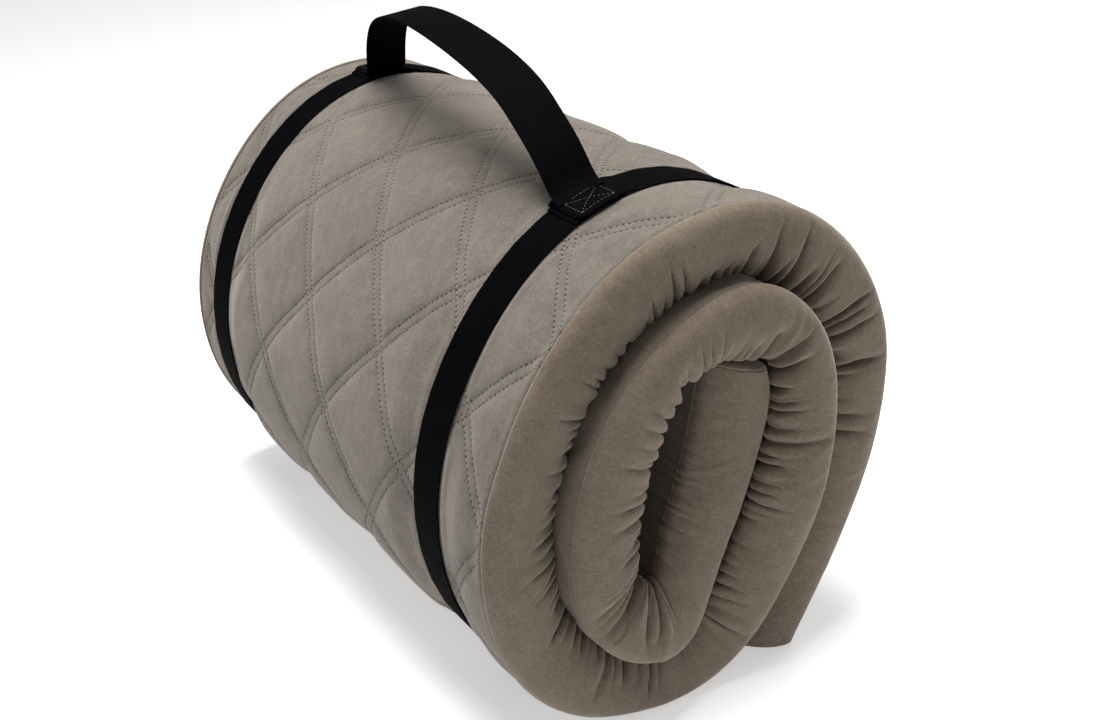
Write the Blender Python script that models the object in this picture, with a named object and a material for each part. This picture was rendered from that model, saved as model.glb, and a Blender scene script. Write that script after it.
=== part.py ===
# Rolled pressure relief mattress: a 600 mm wide foam overlay in a zipped cover, wound up and held
# by two elastic straps that a webbing carrying handle joins.  Metres, +Z up; the numbers below are
# millimetres.  The roll's axis runs along Y, and the end where the inner turns stand out faces -Y,
# the front.  The world origin is on the floor at the middle of the footprint.
#
# Profile points are (x, z) about the roll's axis.  Turned angles start at +X and run towards +Z.
import bpy
import bmesh
import math
import numpy as np

for ob in list(bpy.data.objects):
    bpy.data.objects.remove(ob, do_unlink=True)

MM = 0.001

# ---------------------------------------------------------------- slab and cover
WIDTH = 600.0            # mattress width, which is the roll's length
HALF = WIDTH / 2
FREE_THICK = 58.5        # slab where nothing presses on it, cover included
LAP_GAP = 1.5            # air left between one turn and the next
SKIN_GAP = 0.35          # air left between neighbouring layers
FACE = 1.6               # velour face of the quilted panel
WADDING = 6.0            # fibre wadding sewn behind the velour
WADDING_INSET = 1.5      # wadding stops this far short of the velour's sides
QUILT = FACE + SKIN_GAP + WADDING
VISCO_SHARE = 0.5        # share of the foam that is the soft upper layer
PLAIN = 1.4              # plain stretch fabric
BORDER = 2.2             # side border: stretch fabric and its backing
FOAM_HALF = HALF - BORDER - 1.2  # half width of the foam, clear of the borders
TELESCOPE = 20.0         # how far the second turn stands out of the front end
TELESCOPE_TURN = (262, 350)  # turned angles between which the slab slides forward
TELESCOPE_BACK = 0.85    # share of that which the core slides back
CORE_BACK_ANGLE = 620    # turned angle where it starts to slide back
CORE_BACK_RUN = 130.0    # length it takes

# Quilted face before the roll leans: turned angle, radius
LAP_RADII = [
    (-48, 205.0), (-30, 176.5), (0, 169.5), (30, 184.0), (60, 199.0), (90, 203.0), (120, 190.0),
    (150, 174.0), (180, 172.5), (210, 184.5), (240, 200.5), (270, 197.5), (285, 187.0),
    (300, 165.5), (315, 138.5), (330, 121.0), (345, 113.0), (360, 110.5), (390, 118.0),
    (420, 139.0), (450, 151.5), (480, 132.0), (510, 118.5), (540, 116.5), (570, 127.5),
    (600, 145.5), (630, 143.5)]
# From the fold at the bottom the quilted face runs up the core and ends under the second turn: x, z
CORE_OUTER = [
    (17, -131), (28, -107), (36, -79), (43.5, -44), (48, -10), (50.5, 25), (50, 50), (46.5, 68),
    (39, 83)]
# Plain face where it looks into the core's hollow: turned angle, x, z
CORE_INNER = [
    (405, 47.5, 66), (420, 41, 86), (435, 23, 93.5), (450, 2, 94), (465, -18, 90),
    (480, -34, 80.5), (495, -45, 62), (510, -52, 40), (525, -56, 17), (540, -57.5, -5),
    (555, -57, -28), (570, -54, -49), (585, -48.5, -67), (600, -41, -80), (615, -33, -86),
    (630, -26, -84)]
# Plain face opposite each point of CORE_OUTER: x, z
CORE_INNER_END = [
    (-22, -77), (-18.5, -66), (-15, -52), (-12, -32), (-10, -8), (-8.5, 20), (-9, 46), (-11, 66),
    (-12, 84)]
CORE_ANGLE = 390         # turned angle past which the plain face follows its own points
TAIL_TARGET = (89.0, -154.0)  # the outer end's face runs from the quilt's edge towards here
TAIL_BLEND = 70.0        # length over which the thickness swings from that line to square

STEP = 2.0               # spacing of the fine stations along the slab
FINE_SAMPLES = 1600      # samples that measure the face's length
NEXT_TURN_AFTER = 350    # length along the slab before the next turn can lie underneath
MAX_RUN = 26.0           # solids get a station at least this often along the quilted face,
MAX_BEND = math.radians(10.0)  # this often in direction,
MAX_INNER_MOVE = 19.0    # and this often along the plain face

# ---------------------------------------------------------------- zip on the outer end
ZIP_TEETH_W = 4.4
ZIP_TAPE_W = 6.0
ZIP_GAP = 0.35           # between teeth, tape and border strip
ZIP_OFF_MIDDLE = -0.5    # chain from the middle of the border, towards the quilt
PLAIN_SEAM = 3.4         # border strip stops this far short of the plain fabric
CHAIN_Y = (-288.0, 273.0)
STOP_LENGTH = 5.0
STOP_LAP = 1.0           # length of a stop that lies over the chain
# Heights of the bars out of the end's face: bottom, top
STRIP_D = (-2.6, -0.3)
TAPE_D = (-1.7, -0.7)
CHAIN_D = (-1.9, -0.5)
STOP_D = (-0.2, 1.0)

SLIDER_Y = -281.0
SLIDER_L = 9.0
SLIDER_LAYERS = [(0.2, 0.94), (0.6, 1.0), (1.5, 1.0), (1.9, 0.9)]  # height, scale of the outline
BRIDGE_HALF_L = 2.6      # staple on the slider: along Y,
BRIDGE_RISE = 3.4        # its rise,
BRIDGE_BASE = 1.2        # height of its feet,
BRIDGE_HALF_W = 0.6      # across the zip,
BRIDGE_WIRE = 0.9        # and its thickness
HINGE_D = 2.8            # height of the pull's hinge
PULL_HALF_T = 0.45
PULL_CUT_HALF = 1.5      # half height of the solids that cut the pull
# Rounded rectangles on the pull: middle along Y from the hinge, half width, half length, radius
PULL_OUTLINE = (8.8, 2.3, 9.25, 1.6)
PULL_CUTS = {"pull_eye_guide": (1.85, 1.2, 1.4, 0.7), "pull_slot_guide": (11.5, 0.9, 3.8, 0.7)}

# ---------------------------------------------------------------- straps and handle
STRAP_W = 40.0           # elastic strap
STRAP_T = 2.0
STRAP_CLEAR = 0.4        # air between roll and strap
STRAP_LAP = 46.0         # sewn overlap of each strap's ends
STRAP_RISE_L = 14.0      # length in which the end climbs on to the start
STRAP_Y = (-209.0, 236.0)  # strap centres along the roll
SEWN_GAP = 0.3           # air between sewn bands
HANDLE_W = 40.0          # carrying handle webbing
HANDLE_T = 2.0
TAB_L = 46.0             # sewn end of the handle, along Y
FEET_XZ = ((-83.0, 183.0), (-37.0, 192.0))  # front and rear foot in the profile before it leans
FOOT_GAP = 0.4           # from the sewn end up to the handle's foot
HANDLE_LEAN = math.radians(-7.0)  # lean at rest, negative towards -X
# Middle line of the handle: distance along the feet's line, height above it
HANDLE_ARCH = [
    (3, 2.4), (14, 7.5), (30, 19), (54, 40), (80, 57), (110, 67), (175, 77.5), (240, 83),
    (310, 80), (362, 65.5), (397, 46), (423, 26.5), (436, 12), (444, 2.4)]
ARCH_SPAN = 447.5        # distance between feet that the arch is drawn for
ARCH_STATIONS = 44
ARCH_FLOOR = 1.0         # lowest height of the solid above the feet's line
CLEAR_TILT = math.radians(60.0)  # tilt at which the handle's edges would meet the roll
CLEAR_HALF_W = 0.8       # half width where the room starts to widen,
CLEAR_START = 2.2        # and the height where it does


# ---------------------------------------------------------------- curves
def length(v):
    return np.linalg.norm(v, axis=-1)


def unit(v):
    return v / np.linalg.norm(v, axis=-1, keepdims=True) if False else v / length(v)[..., None]


def run_along(points):
    """Length from the first point to each point."""
    return np.r_[0, np.cumsum(length(np.diff(points, axis=0)))]


def ramp(x, start, end):
    """Smooth step from 0 at start to 1 at end."""
    q = np.clip((x - start) / (end - start), 0, 1)
    return q * q * (3 - 2 * q)


def spline(t, y):
    """Natural cubic spline through the rows of y at parameters t."""
    t, y = np.asarray(t, float), np.asarray(y, float)
    n, h = len(t), np.diff(t)
    system, right = np.zeros((n, n)), np.zeros_like(y)
    system[0, 0] = system[-1, -1] = 1.0
    for i in range(1, n - 1):
        system[i, i - 1:i + 2] = h[i - 1], 2 * (h[i - 1] + h[i]), h[i]
        right[i] = 6 * ((y[i + 1] - y[i]) / h[i] - (y[i] - y[i - 1]) / h[i - 1])
    second = np.linalg.solve(system, right)

    def at(x):
        i = np.clip(np.searchsorted(t, x) - 1, 0, n - 2)
        after, before, gap = (t[i + 1] - x)[:, None], (x - t[i])[:, None], h[i][:, None]
        bend = (second[i] * after**3 + second[i + 1] * before**3) / (6 * gap)
        return (bend + (y[i] / gap - second[i] * gap / 6) * after
                + (y[i + 1] / gap - second[i + 1] * gap / 6) * before)
    return at


def hull(points):
    """Convex hull, anticlockwise."""
    ordered = sorted(map(tuple, points))

    def half(candidates):
        chain = []
        for p in candidates:
            while len(chain) > 1:
                (ax, az), (bx, bz) = chain[-2:]
                if (bx - ax) * (p[1] - az) - (bz - az) * (p[0] - ax) > 0:
                    break
                chain.pop()
            chain.append(p)
        return chain[:-1]
    return np.array(half(ordered) + half(ordered[::-1]))


def lean_over(p, angle):
    """Turn profile points about the axis, from +Z towards +X."""
    c, s = math.cos(angle), math.sin(angle)
    return np.stack([p[..., 0] * c + p[..., 1] * s, -p[..., 0] * s + p[..., 1] * c], -1)


# ---------------------------------------------------------------- the slab's profile
def next_turn_distances(face, i, direction):
    """Distances from station i, along a direction, to the quilted face of later turns."""
    first = i + int(NEXT_TURN_AFTER / STEP)
    edge = face[first + 1:] - face[first:-1]
    reach = face[first:-1] - face[i]
    det = -direction[0] * edge[:, 1] + direction[1] * edge[:, 0]
    det[np.abs(det) < 1e-9] = 1e-9
    distance = (-reach[:, 0] * edge[:, 1] + reach[:, 1] * edge[:, 0]) / det
    share = (direction[0] * reach[:, 1] - direction[1] * reach[:, 0]) / det
    return distance[(distance > 5) & (share >= 0) & (share <= 1)]


def slab_profile():
    """Fine stations from the outer end: arc length, quilted face, plain face, turned angle."""
    angles, radii = np.array(LAP_RADII, float).T
    turned = np.radians(angles)
    laps = np.stack([radii * np.cos(turned), radii * np.sin(turned)], 1)
    knots = np.vstack([laps, CORE_OUTER])
    knot_t = run_along(knots)
    fine_t = np.linspace(0, knot_t[-1], FINE_SAMPLES)
    fine = spline(knot_t, knots)(fine_t)
    run = run_along(fine)
    knot_s = np.interp(knot_t, fine_t, run)
    lap_s, core_s = knot_s[:len(angles)], knot_s[len(angles):]

    s = np.linspace(0, run[-1], int(round(run[-1] / STEP)) + 1)
    quilted = np.stack([np.interp(s, run, fine[:, 0]), np.interp(s, run, fine[:, 1])], 1)
    tangent = unit(np.gradient(quilted, axis=0))
    inward = np.stack([-tangent[:, 1], tangent[:, 0]], 1)

    # wound part: as thick as the turn underneath allows
    plain = np.zeros_like(quilted)
    tail = unit(np.array(TAIL_TARGET) - quilted[0])
    first_core = int(np.searchsorted(s, np.interp(CORE_ANGLE, angles, lap_s)))
    for i in range(first_core):
        square = ramp(s[i], 0, TAIL_BLEND)
        direction = unit(square * inward[i] + (1 - square) * tail)
        room = next_turn_distances(quilted, i, direction) - LAP_GAP
        plain[i] = quilted[i] + direction * min([FREE_THICK, *room])

    # core: a spline that leaves the wound part smoothly
    lead = [first_core - 12, first_core - 1]
    inner = np.array(CORE_INNER, float)
    inner_s = np.interp(inner[:, 0], angles, lap_s)
    core = spline(np.r_[s[lead], inner_s, core_s],
                  np.vstack([plain[lead], inner[:, 1:], CORE_INNER_END]))
    plain[first_core:] = core(s[first_core:])
    return s, quilted, plain, np.interp(s, lap_s, angles)


def solid_stations(s, quilted, plain):
    """Indices of the fine stations that the solids use."""
    tangent = unit(np.gradient(quilted, axis=0))
    heading = np.unwrap(np.arctan2(tangent[:, 1], tangent[:, 0]))
    n = len(s)
    chosen = [0, 2]
    for i in range(3, n - 3):
        last = chosen[-1]
        if (s[i] - s[last] > MAX_RUN or abs(heading[i] - heading[last]) > MAX_BEND
                or length(plain[i] - plain[last]) > MAX_INNER_MOVE):
            chosen.append(i)
    if s[-1] - s[chosen[-1]] < 10.0:
        chosen.pop()
    return np.array(chosen + [n - 3, n - 2, n - 1])


RUN, OUT, INN, ANGLE = slab_profile()
STATIONS = solid_stations(RUN, OUT, INN)
INSIDE = STATIONS[1:-2]  # the stations of the filling, short of both ends

# The roll leans until its underside and the corner of its outer end touch the floor together:
# the longest edge of its hull becomes level.
outline = hull(OUT[STATIONS])
edges = outline - np.roll(outline, 1, axis=0)
floor_edge = edges[np.argmax(length(edges))]
LEAN = math.atan2(floor_edge[1], floor_edge[0])
OUT, INN = lean_over(OUT, LEAN), lean_over(INN, LEAN)
# the straps pass underneath, so the roll stands on them
AXIS_HEIGHT = -OUT[STATIONS, 1].min() + STRAP_CLEAR + STRAP_T
OUT[:, 1] += AXIS_HEIGHT
INN[:, 1] += AXIS_HEIGHT
THICK = length(OUT - INN)
core_back = RUN[ANGLE < CORE_BACK_ANGLE].max()
# slide of each station along Y
SHIFT = -TELESCOPE * (ramp(ANGLE, *TELESCOPE_TURN)
                      - TELESCOPE_BACK * ramp(RUN, core_back, core_back + CORE_BACK_RUN))

# ---------------------------------------------------------------- materials
# base colour, roughness, metallic
MATERIAL_TABLE = {
    "velour": ((0.33, 0.285, 0.235), 0.85, 0.0),
    "wadding": ((0.85, 0.85, 0.83), 0.95, 0.0),
    "stretch_fabric": ((0.20, 0.165, 0.13), 0.8, 0.0),
    "border_fabric": ((0.22, 0.18, 0.145), 0.8, 0.0),
    "visco_foam": ((0.86, 0.80, 0.62), 0.95, 0.0),
    "base_foam": ((0.75, 0.78, 0.80), 0.95, 0.0),
    "strap_elastic": ((0.012, 0.012, 0.014), 0.7, 0.0),
    "handle_webbing": ((0.010, 0.010, 0.012), 0.65, 0.0),
    "zip_tape": ((0.17, 0.14, 0.11), 0.8, 0.0),
    "zip_nylon": ((0.13, 0.105, 0.085), 0.45, 0.0),
    "zip_metal": ((0.45, 0.45, 0.46), 0.35, 1.0),
}


def make_material(name, colour, roughness, metallic):
    mat = bpy.data.materials.new(name)
    mat.use_nodes = True
    shader = mat.node_tree.nodes["Principled BSDF"]
    shader.inputs["Base Color"].default_value = (*colour, 1.0)
    shader.inputs["Roughness"].default_value = roughness
    shader.inputs["Metallic"].default_value = metallic
    return mat


MATERIALS = {name: make_material(name, *row) for name, row in MATERIAL_TABLE.items()}


# ---------------------------------------------------------------- building
def add_empty(name, parent=None, location=(0, 0, 0)):
    """Empty at a place given in the parent's frame."""
    ob = bpy.data.objects.new(name, None)
    bpy.context.collection.objects.link(ob)
    ob.parent = parent
    ob.location = tuple(np.asarray(location, float) * MM)
    return ob


def add(name, rings, mat, parent, origin=(0, 0, 0), smooth=True):
    """Capped solid skinned over equal rings in the roll's frame; origin is the parent's place."""
    n = len(rings[0])
    faces = [(a + k, a + (k + 1) % n, a + n + (k + 1) % n, a + n + k)
             for a in range(0, (len(rings) - 1) * n, n) for k in range(n)]
    faces.append(tuple(range(n)))
    faces.append(tuple(range((len(rings) - 1) * n, len(rings) * n))[::-1])
    verts = (np.array(rings, float).reshape(-1, 3) - np.asarray(origin, float)) * MM
    mesh = bpy.data.meshes.new(name)
    mesh.from_pydata(verts.tolist(), [], faces)
    bm = bmesh.new()
    bm.from_mesh(mesh)
    bmesh.ops.recalc_face_normals(bm, faces=bm.faces)
    if bm.calc_volume(signed=True) < 0:
        bmesh.ops.reverse_faces(bm, faces=bm.faces)
    bm.to_mesh(mesh)
    bm.free()
    mesh.materials.append(MATERIALS[mat])
    if smooth:
        mesh.shade_smooth()
        mesh.set_sharp_from_angle(angle=math.radians(35))
    ob = bpy.data.objects.new(name, mesh)
    bpy.context.collection.objects.link(ob)
    ob.parent = parent
    return ob


def apply_guide(target, guide, name, operation):
    """Join or cut the target with a hidden guide solid."""
    guide.hide_render = True
    guide.display_type = "WIRE"
    boolean = target.modifiers.new(name, "BOOLEAN")
    boolean.operation = operation
    boolean.solver = "EXACT"
    boolean.object = guide


def flat_ring(a, b, y0, y1):
    """Four corners between two profile points and two places along Y."""
    return [(a[0], y0, a[1]), (b[0], y0, b[1]), (b[0], y1, b[1]), (a[0], y1, a[1])]


ROOT = add_empty("mattress_roll")


# ---------------------------------------------------------------- slab layers
def layer(name, mat, top, bottom, y0, y1, stations=STATIONS):
    """Slab layer between two depths under the quilted face, each one number or one per station."""
    upper, lower = (OUT + (INN - OUT) * (depth / THICK)[:, None] for depth in (top, bottom))
    rings = [flat_ring(upper[i], lower[i], y0 + SHIFT[i], y1 + SHIFT[i]) for i in stations]
    add(name, rings, mat, ROOT)


def build_slab():
    foam_top = QUILT + SKIN_GAP
    foam_low = THICK - PLAIN - SKIN_GAP
    foam_mid = foam_top + VISCO_SHARE * (foam_low - foam_top)
    foam = (-FOAM_HALF, FOAM_HALF)
    wadding_half = HALF - WADDING_INSET
    layer("quilt_face", "velour", 0.0, FACE, -HALF, HALF)
    layer("quilt_wadding", "wadding", FACE + SKIN_GAP, QUILT, -wadding_half, wadding_half, INSIDE)
    layer("visco_foam", "visco_foam", foam_top, foam_mid - SKIN_GAP / 2, *foam, INSIDE)
    layer("base_foam", "base_foam", foam_mid + SKIN_GAP / 2, foam_low, *foam, INSIDE)
    layer("plain_face", "stretch_fabric", THICK - PLAIN, THICK, -HALF, HALF)
    layer("border_front", "border_fabric", foam_top, foam_low, -HALF, -HALF + BORDER)
    layer("border_rear", "border_fabric", foam_top, foam_low, HALF - BORDER, HALF)
    layer("border_inner_end", "border_fabric", foam_top, foam_low, *foam, STATIONS[-2:])


# ---------------------------------------------------------------- outer end and its zip
ACROSS = unit(INN[0] - OUT[0])                 # from the quilted edge to the plain edge
OUTWARD = np.array([ACROSS[1], -ACROSS[0]])    # out of the end's face
if OUTWARD @ (OUT[4] - OUT[0]) > 0:
    OUTWARD = -OUTWARD
END_T = THICK[0]
ZIP_T = (QUILT + END_T) / 2 + ZIP_OFF_MIDDLE   # middle of the chain, across from the quilted edge


def end_point(t, y, d):
    """Point on the outer end: t across from the quilted edge, d out of the face."""
    x, z = OUT[0] + ACROSS * t + OUTWARD * d
    return x, y, z


def build_end_bars():
    """Border in two strips, with the zip's tapes, chain and stops between them."""
    teeth = ZIP_TEETH_W / 2
    tape_in = teeth + ZIP_GAP
    tape_out = tape_in + ZIP_TAPE_W
    strip = tape_out + ZIP_GAP
    full = (-FOAM_HALF, FOAM_HALF)
    chain = (ZIP_T - teeth, ZIP_T + teeth)
    front, rear = CHAIN_Y
    over = STOP_LENGTH - STOP_LAP
    # name, material, extent across, heights, extent along Y
    bars = [
        ("border_outer_end_quilt_side", "border_fabric",
         (QUILT + SKIN_GAP, ZIP_T - strip), STRIP_D, full),
        ("border_outer_end_plain_side", "border_fabric",
         (ZIP_T + strip, END_T - PLAIN - PLAIN_SEAM), STRIP_D, full),
        ("zip_tape_quilt_side", "zip_tape", (ZIP_T - tape_out, ZIP_T - tape_in), TAPE_D, full),
        ("zip_tape_plain_side", "zip_tape", (ZIP_T + tape_in, ZIP_T + tape_out), TAPE_D, full),
        ("zip_chain", "zip_nylon", chain, CHAIN_D, CHAIN_Y),
        ("zip_stop_front", "zip_metal", chain, STOP_D, (front - over, front + STOP_LAP)),
        ("zip_stop_rear", "zip_metal", chain, STOP_D, (rear - STOP_LAP, rear + over)),
    ]
    for name, mat, (t0, t1), (d0, d1), along_y in bars:
        corners = ((t0, d0), (t1, d0), (t1, d1), (t0, d1))
        rings = [[end_point(t, y, d) for t, d in corners] for y in along_y]
        add(name, rings, mat, ROOT, smooth=False)


def build_slider():
    """Slider plate over the chain, joined with a low staple; gives the axis it slides with."""
    place = np.array(end_point(ZIP_T, SLIDER_Y, 0.0))
    axis = add_empty("zip_slide_axis", ROOT, place)
    end = SLIDER_L / 2
    # outline: across the zip, along Y
    plate = [(-3.0, -end), (-3.9, -end + 2.0), (-3.9, end - 1.5), (-3.2, end),
             (3.2, end), (3.9, end - 1.5), (3.9, -end + 2.0), (3.0, -end)]
    rings = [[end_point(ZIP_T + t * scale, SLIDER_Y + y * scale, d) for t, y in plate]
             for d, scale in SLIDER_LAYERS]
    slider = add("zip_slider", rings, "zip_metal", axis, place)

    w = BRIDGE_HALF_W
    rings = []
    for a in np.linspace(0, math.pi, 9):
        rings.append([end_point(ZIP_T + t,
                                SLIDER_Y - (BRIDGE_HALF_L - cut) * math.cos(a),
                                BRIDGE_BASE + (BRIDGE_RISE - cut) * math.sin(a))
                      for t, cut in ((-w, 0), (w, 0), (w, BRIDGE_WIRE), (-w, BRIDGE_WIRE))])
    staple = add("zip_slider_bridge_guide", rings, "zip_metal", axis, place)
    apply_guide(slider, staple, "bridge", "UNION")
    return axis, place


def rounded_plate(middle, half_w, half_l, radius, half_t):
    """Rings of a flat rounded plate at the pull's hinge."""
    outline = []
    for side_t, side_y, start in ((1, 1, 0), (-1, 1, 90), (-1, -1, 180), (1, -1, 270)):
        for k in range(5):
            a = math.radians(start + 90 * k / 4)
            outline.append((side_t * (half_w - radius) + radius * math.cos(a),
                            middle + side_y * (half_l - radius) + radius * math.sin(a)))
    return [[end_point(ZIP_T + t, SLIDER_Y + y, HINGE_D + d) for t, y in outline]
            for d in (-half_t, half_t)]


def build_pull(slide_axis, slider_place):
    """Pull tab: flat plate with an eye round the bridge and a slot, hinged across the zip."""
    place = np.array(end_point(ZIP_T, SLIDER_Y, HINGE_D))
    axis = add_empty("zip_pull_axis", slide_axis, place - slider_place)
    pull = add("zip_pull", rounded_plate(*PULL_OUTLINE, PULL_HALF_T), "zip_metal", axis, place)
    for name, shape in PULL_CUTS.items():
        guide = add(name, rounded_plate(*shape, PULL_CUT_HALF), "zip_metal", axis, place)
        apply_guide(pull, guide, name, "DIFFERENCE")


# ---------------------------------------------------------------- elastic straps round the roll
def strap_path():
    """Points and outward normals round the roll's hull; sharp corners get a fan of normals."""
    corners = hull(OUT[STATIONS])
    leaving = unit(np.roll(corners, -1, axis=0) - corners)
    arriving = np.roll(leaving, 1, axis=0)
    points, normals = [], []
    for p, a, b in zip(corners, arriving, leaving):
        bend = math.acos(max(-1.0, min(1.0, float(a @ b))))
        gentle = bend < math.radians(24)
        for q in [0.5] if gentle else np.linspace(0, 1, 5):
            t = unit(a * (1 - q) + b * q)
            points.append(p)
            # a mitred normal keeps the band's thickness at a gentle corner
            normals.append(np.array([t[1], -t[0]]) / (math.cos(bend / 2) if gentle else 1.0))
    return np.array(points), np.array(normals)


class StrapLoop:
    """The strap path, started at its point nearest a foot of the handle."""

    def __init__(self, path, path_normals, foot):
        nearest = math.inf
        following = np.roll(path, -1, axis=0)
        for k, (a, b) in enumerate(zip(path, following)):
            edge = b - a
            if length(edge) < 1e-6:
                continue
            share = float(np.clip((foot - a) @ edge / (edge @ edge), 0, 1))
            point = a + share * edge
            gap = length(foot - point)
            if gap < nearest:
                nearest, segment, q, start = gap, k, share, point
        points = np.roll(path, -segment - 1, axis=0)
        normals = np.roll(path_normals, -segment - 1, axis=0)
        normal = unit(normals[-1] * (1 - q) + normals[0] * q)
        self.points = np.vstack([start, points, start])
        self.normals = np.vstack([normal, normals, normal])
        self.run = run_along(self.points)
        self.total = self.run[-1]

    def stop(self, d):
        """Length d, with the point and normal there; the loop repeats."""
        run, points, normals = self.run, self.points, self.normals
        rest = d % self.total
        i = int(np.clip(np.searchsorted(run, rest, side="right") - 1, 0, len(run) - 2))
        while run[i + 1] - run[i] < 1e-9:
            i += 1
        q = (rest - run[i]) / (run[i + 1] - run[i])
        return (d, points[i] * (1 - q) + points[i + 1] * q,
                normals[i] * (1 - q) + normals[i + 1] * q)

    def stops(self, a, b):
        """Stops at lengths a and b, with every corner more than 2 mm inside them."""
        found = [self.stop(a)]
        for lap in range(-1, 2):
            for j in range(1, len(self.run)):
                d = self.run[j] + lap * self.total
                if a + 2.0 < d < b - 2.0:
                    found.append((d, self.points[j], self.normals[j]))
        return found + [self.stop(b)]


def band(stops, lift, thick, y, width):
    """Rings of a band on the loop, its underside lift(d) off the roll, centred on y."""
    return [flat_ring(p + n * lift(d), p + n * (lift(d) + thick), y - width / 2, y + width / 2)
            for d, p, n in stops]


def build_strap(name, loop, y):
    """Band that starts under the handle's foot, goes once round and laps over its start."""
    half = STRAP_LAP / 2
    top = loop.total - half
    foot_of_rise = top - STRAP_RISE_L

    def lift(d):
        return STRAP_CLEAR + (STRAP_T + SEWN_GAP) * ramp(d, foot_of_rise, top)

    stops = (loop.stops(-half, foot_of_rise) + [loop.stop(top - STRAP_RISE_L / 2)]
             + loop.stops(top, loop.total + half))
    add("strap_" + name, band(stops, lift, STRAP_T, y, STRAP_W), "strap_elastic", HARNESS)


def build_handle_end(name, loop, y):
    """Sewn end of the handle on the strap's overlap; gives the handle's foot above it."""
    lift = STRAP_CLEAR + 2 * (STRAP_T + SEWN_GAP)
    rings = band(loop.stops(-HANDLE_W / 2, HANDLE_W / 2), lambda d: lift, HANDLE_T, y, TAB_L)
    add("handle_end_" + name, rings, "handle_webbing", HARNESS)
    _, p, n = loop.stop(0.0)
    x, z = p + unit(n) * (lift + HANDLE_T + FOOT_GAP)
    return np.array([x, y, z])


# ---------------------------------------------------------------- carrying handle
def build_handle(foot_front, foot_rear):
    """Arched webbing, hinged about the line through its feet."""
    span = foot_rear - foot_front
    line = unit(span)
    side = unit(np.cross(line, np.array([0.0, 0.0, 1.0])))
    upright = np.cross(side, line)
    ribbon = side * math.cos(HANDLE_LEAN) - upright * math.sin(HANDLE_LEAN)  # across the webbing
    rise = np.cross(ribbon, line)                                # away from the feet's line
    arch = np.array(HANDLE_ARCH, float)
    arch[:, 0] *= length(span) / ARCH_SPAN
    key = run_along(arch)
    centre = spline(key, arch)(np.linspace(0, key[-1], ARCH_STATIONS))
    tangent = unit(np.gradient(centre, axis=0))
    normal = np.stack([-tangent[:, 1], tangent[:, 0]], 1)
    rings = []
    for c, n in zip(centre, normal):
        # near its feet the solid narrows, which is the room the real webbing makes by twisting
        room = CLEAR_HALF_W + max(0.0, c[1] - CLEAR_START) / math.tan(CLEAR_TILT)
        w = min(HANDLE_W / 2, room)
        ring = []
        for across, off in ((-w, -0.5), (w, -0.5), (w, 0.5), (-w, 0.5)):
            reach, height = c + n * off * HANDLE_T
            ring.append(foot_front + line * reach + rise * max(height, ARCH_FLOOR)
                        + ribbon * across)
        rings.append(ring)
    axis = add_empty("handle_axis", HARNESS, foot_front)
    add("handle", rings, "handle_webbing", axis, foot_front)


def centre_footprint():
    """Move the root so that the origin is at the middle of the footprint."""
    bpy.context.view_layer.update()
    corners = np.array([(ob.matrix_world @ v.co)[:] for ob in bpy.data.objects
                        if ob.type == "MESH" and not ob.hide_render for v in ob.data.vertices])
    x, y, _ = -(corners.min(axis=0) + corners.max(axis=0)) / 2
    ROOT.location = (x, y, 0.0)


build_slab()
build_end_bars()
build_pull(*build_slider())

HARNESS = add_empty("harness", ROOT)
PATH = strap_path()
feet = []
for name, foot, y in zip(("front", "rear"), FEET_XZ, STRAP_Y):
    loop = StrapLoop(*PATH, lean_over(np.array(foot), LEAN) + np.array([0, AXIS_HEIGHT]))
    build_strap(name, loop, y)
    feet.append(build_handle_end(name, loop, y))
build_handle(*feet)
centre_footprint()
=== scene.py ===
# A rolled pressure relief mattress: a quilted slab of two foams, held by two elastic straps
# that a carrying handle joins.  It lies on the floor (z = 0) with the roll's axis along Y and
# its front at -Y; the zip crosses the slab's outer end.
#
# Lengths are millimetres until a mesh is made.  "along" is the distance down the slab from
# its outer end to its inner end, "y" is the place across it, -300 to 300, and a "section" is
# a set of (x, z) points.
import bpy
import bmesh
import math
import numpy as np
from collections import namedtuple
from mathutils import Matrix, Vector


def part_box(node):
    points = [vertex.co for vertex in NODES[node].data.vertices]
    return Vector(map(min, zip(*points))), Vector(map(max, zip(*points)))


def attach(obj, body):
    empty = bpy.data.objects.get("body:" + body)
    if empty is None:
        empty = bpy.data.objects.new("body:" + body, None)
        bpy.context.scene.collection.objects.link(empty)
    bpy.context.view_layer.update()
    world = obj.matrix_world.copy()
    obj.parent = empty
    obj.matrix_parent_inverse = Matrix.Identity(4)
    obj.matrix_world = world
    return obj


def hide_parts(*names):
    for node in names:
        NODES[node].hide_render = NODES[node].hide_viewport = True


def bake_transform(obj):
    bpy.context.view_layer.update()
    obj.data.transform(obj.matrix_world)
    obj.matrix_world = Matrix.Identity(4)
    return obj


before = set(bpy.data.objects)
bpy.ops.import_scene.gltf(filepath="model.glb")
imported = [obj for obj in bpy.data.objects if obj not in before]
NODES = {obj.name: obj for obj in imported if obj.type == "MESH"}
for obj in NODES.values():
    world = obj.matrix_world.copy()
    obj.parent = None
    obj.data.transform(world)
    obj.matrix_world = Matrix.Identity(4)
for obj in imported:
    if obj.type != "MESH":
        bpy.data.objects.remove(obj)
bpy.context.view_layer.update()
MM = 0.001

# ------------------------------------------------------------------ driving dimensions
WIDTH = 600.0
HALF = WIDTH / 2
FREE_THICK = 58.5       # the slab where no other turn presses on it
LAP_GAP = 1.5           # between two turns
TELESCOPE = 20.0        # how far the inner turns stand out towards the front
SECTION_STEP = 2.0

STRAP_CLEAR = 0.4       # under a strap
STRAP_T, STRAP_W = 2.0, 40.0
STRAP_LAP = 46.0        # length over which a strap's two ends overlap
STRAP_Y = (-209.0, 236.0)
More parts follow.
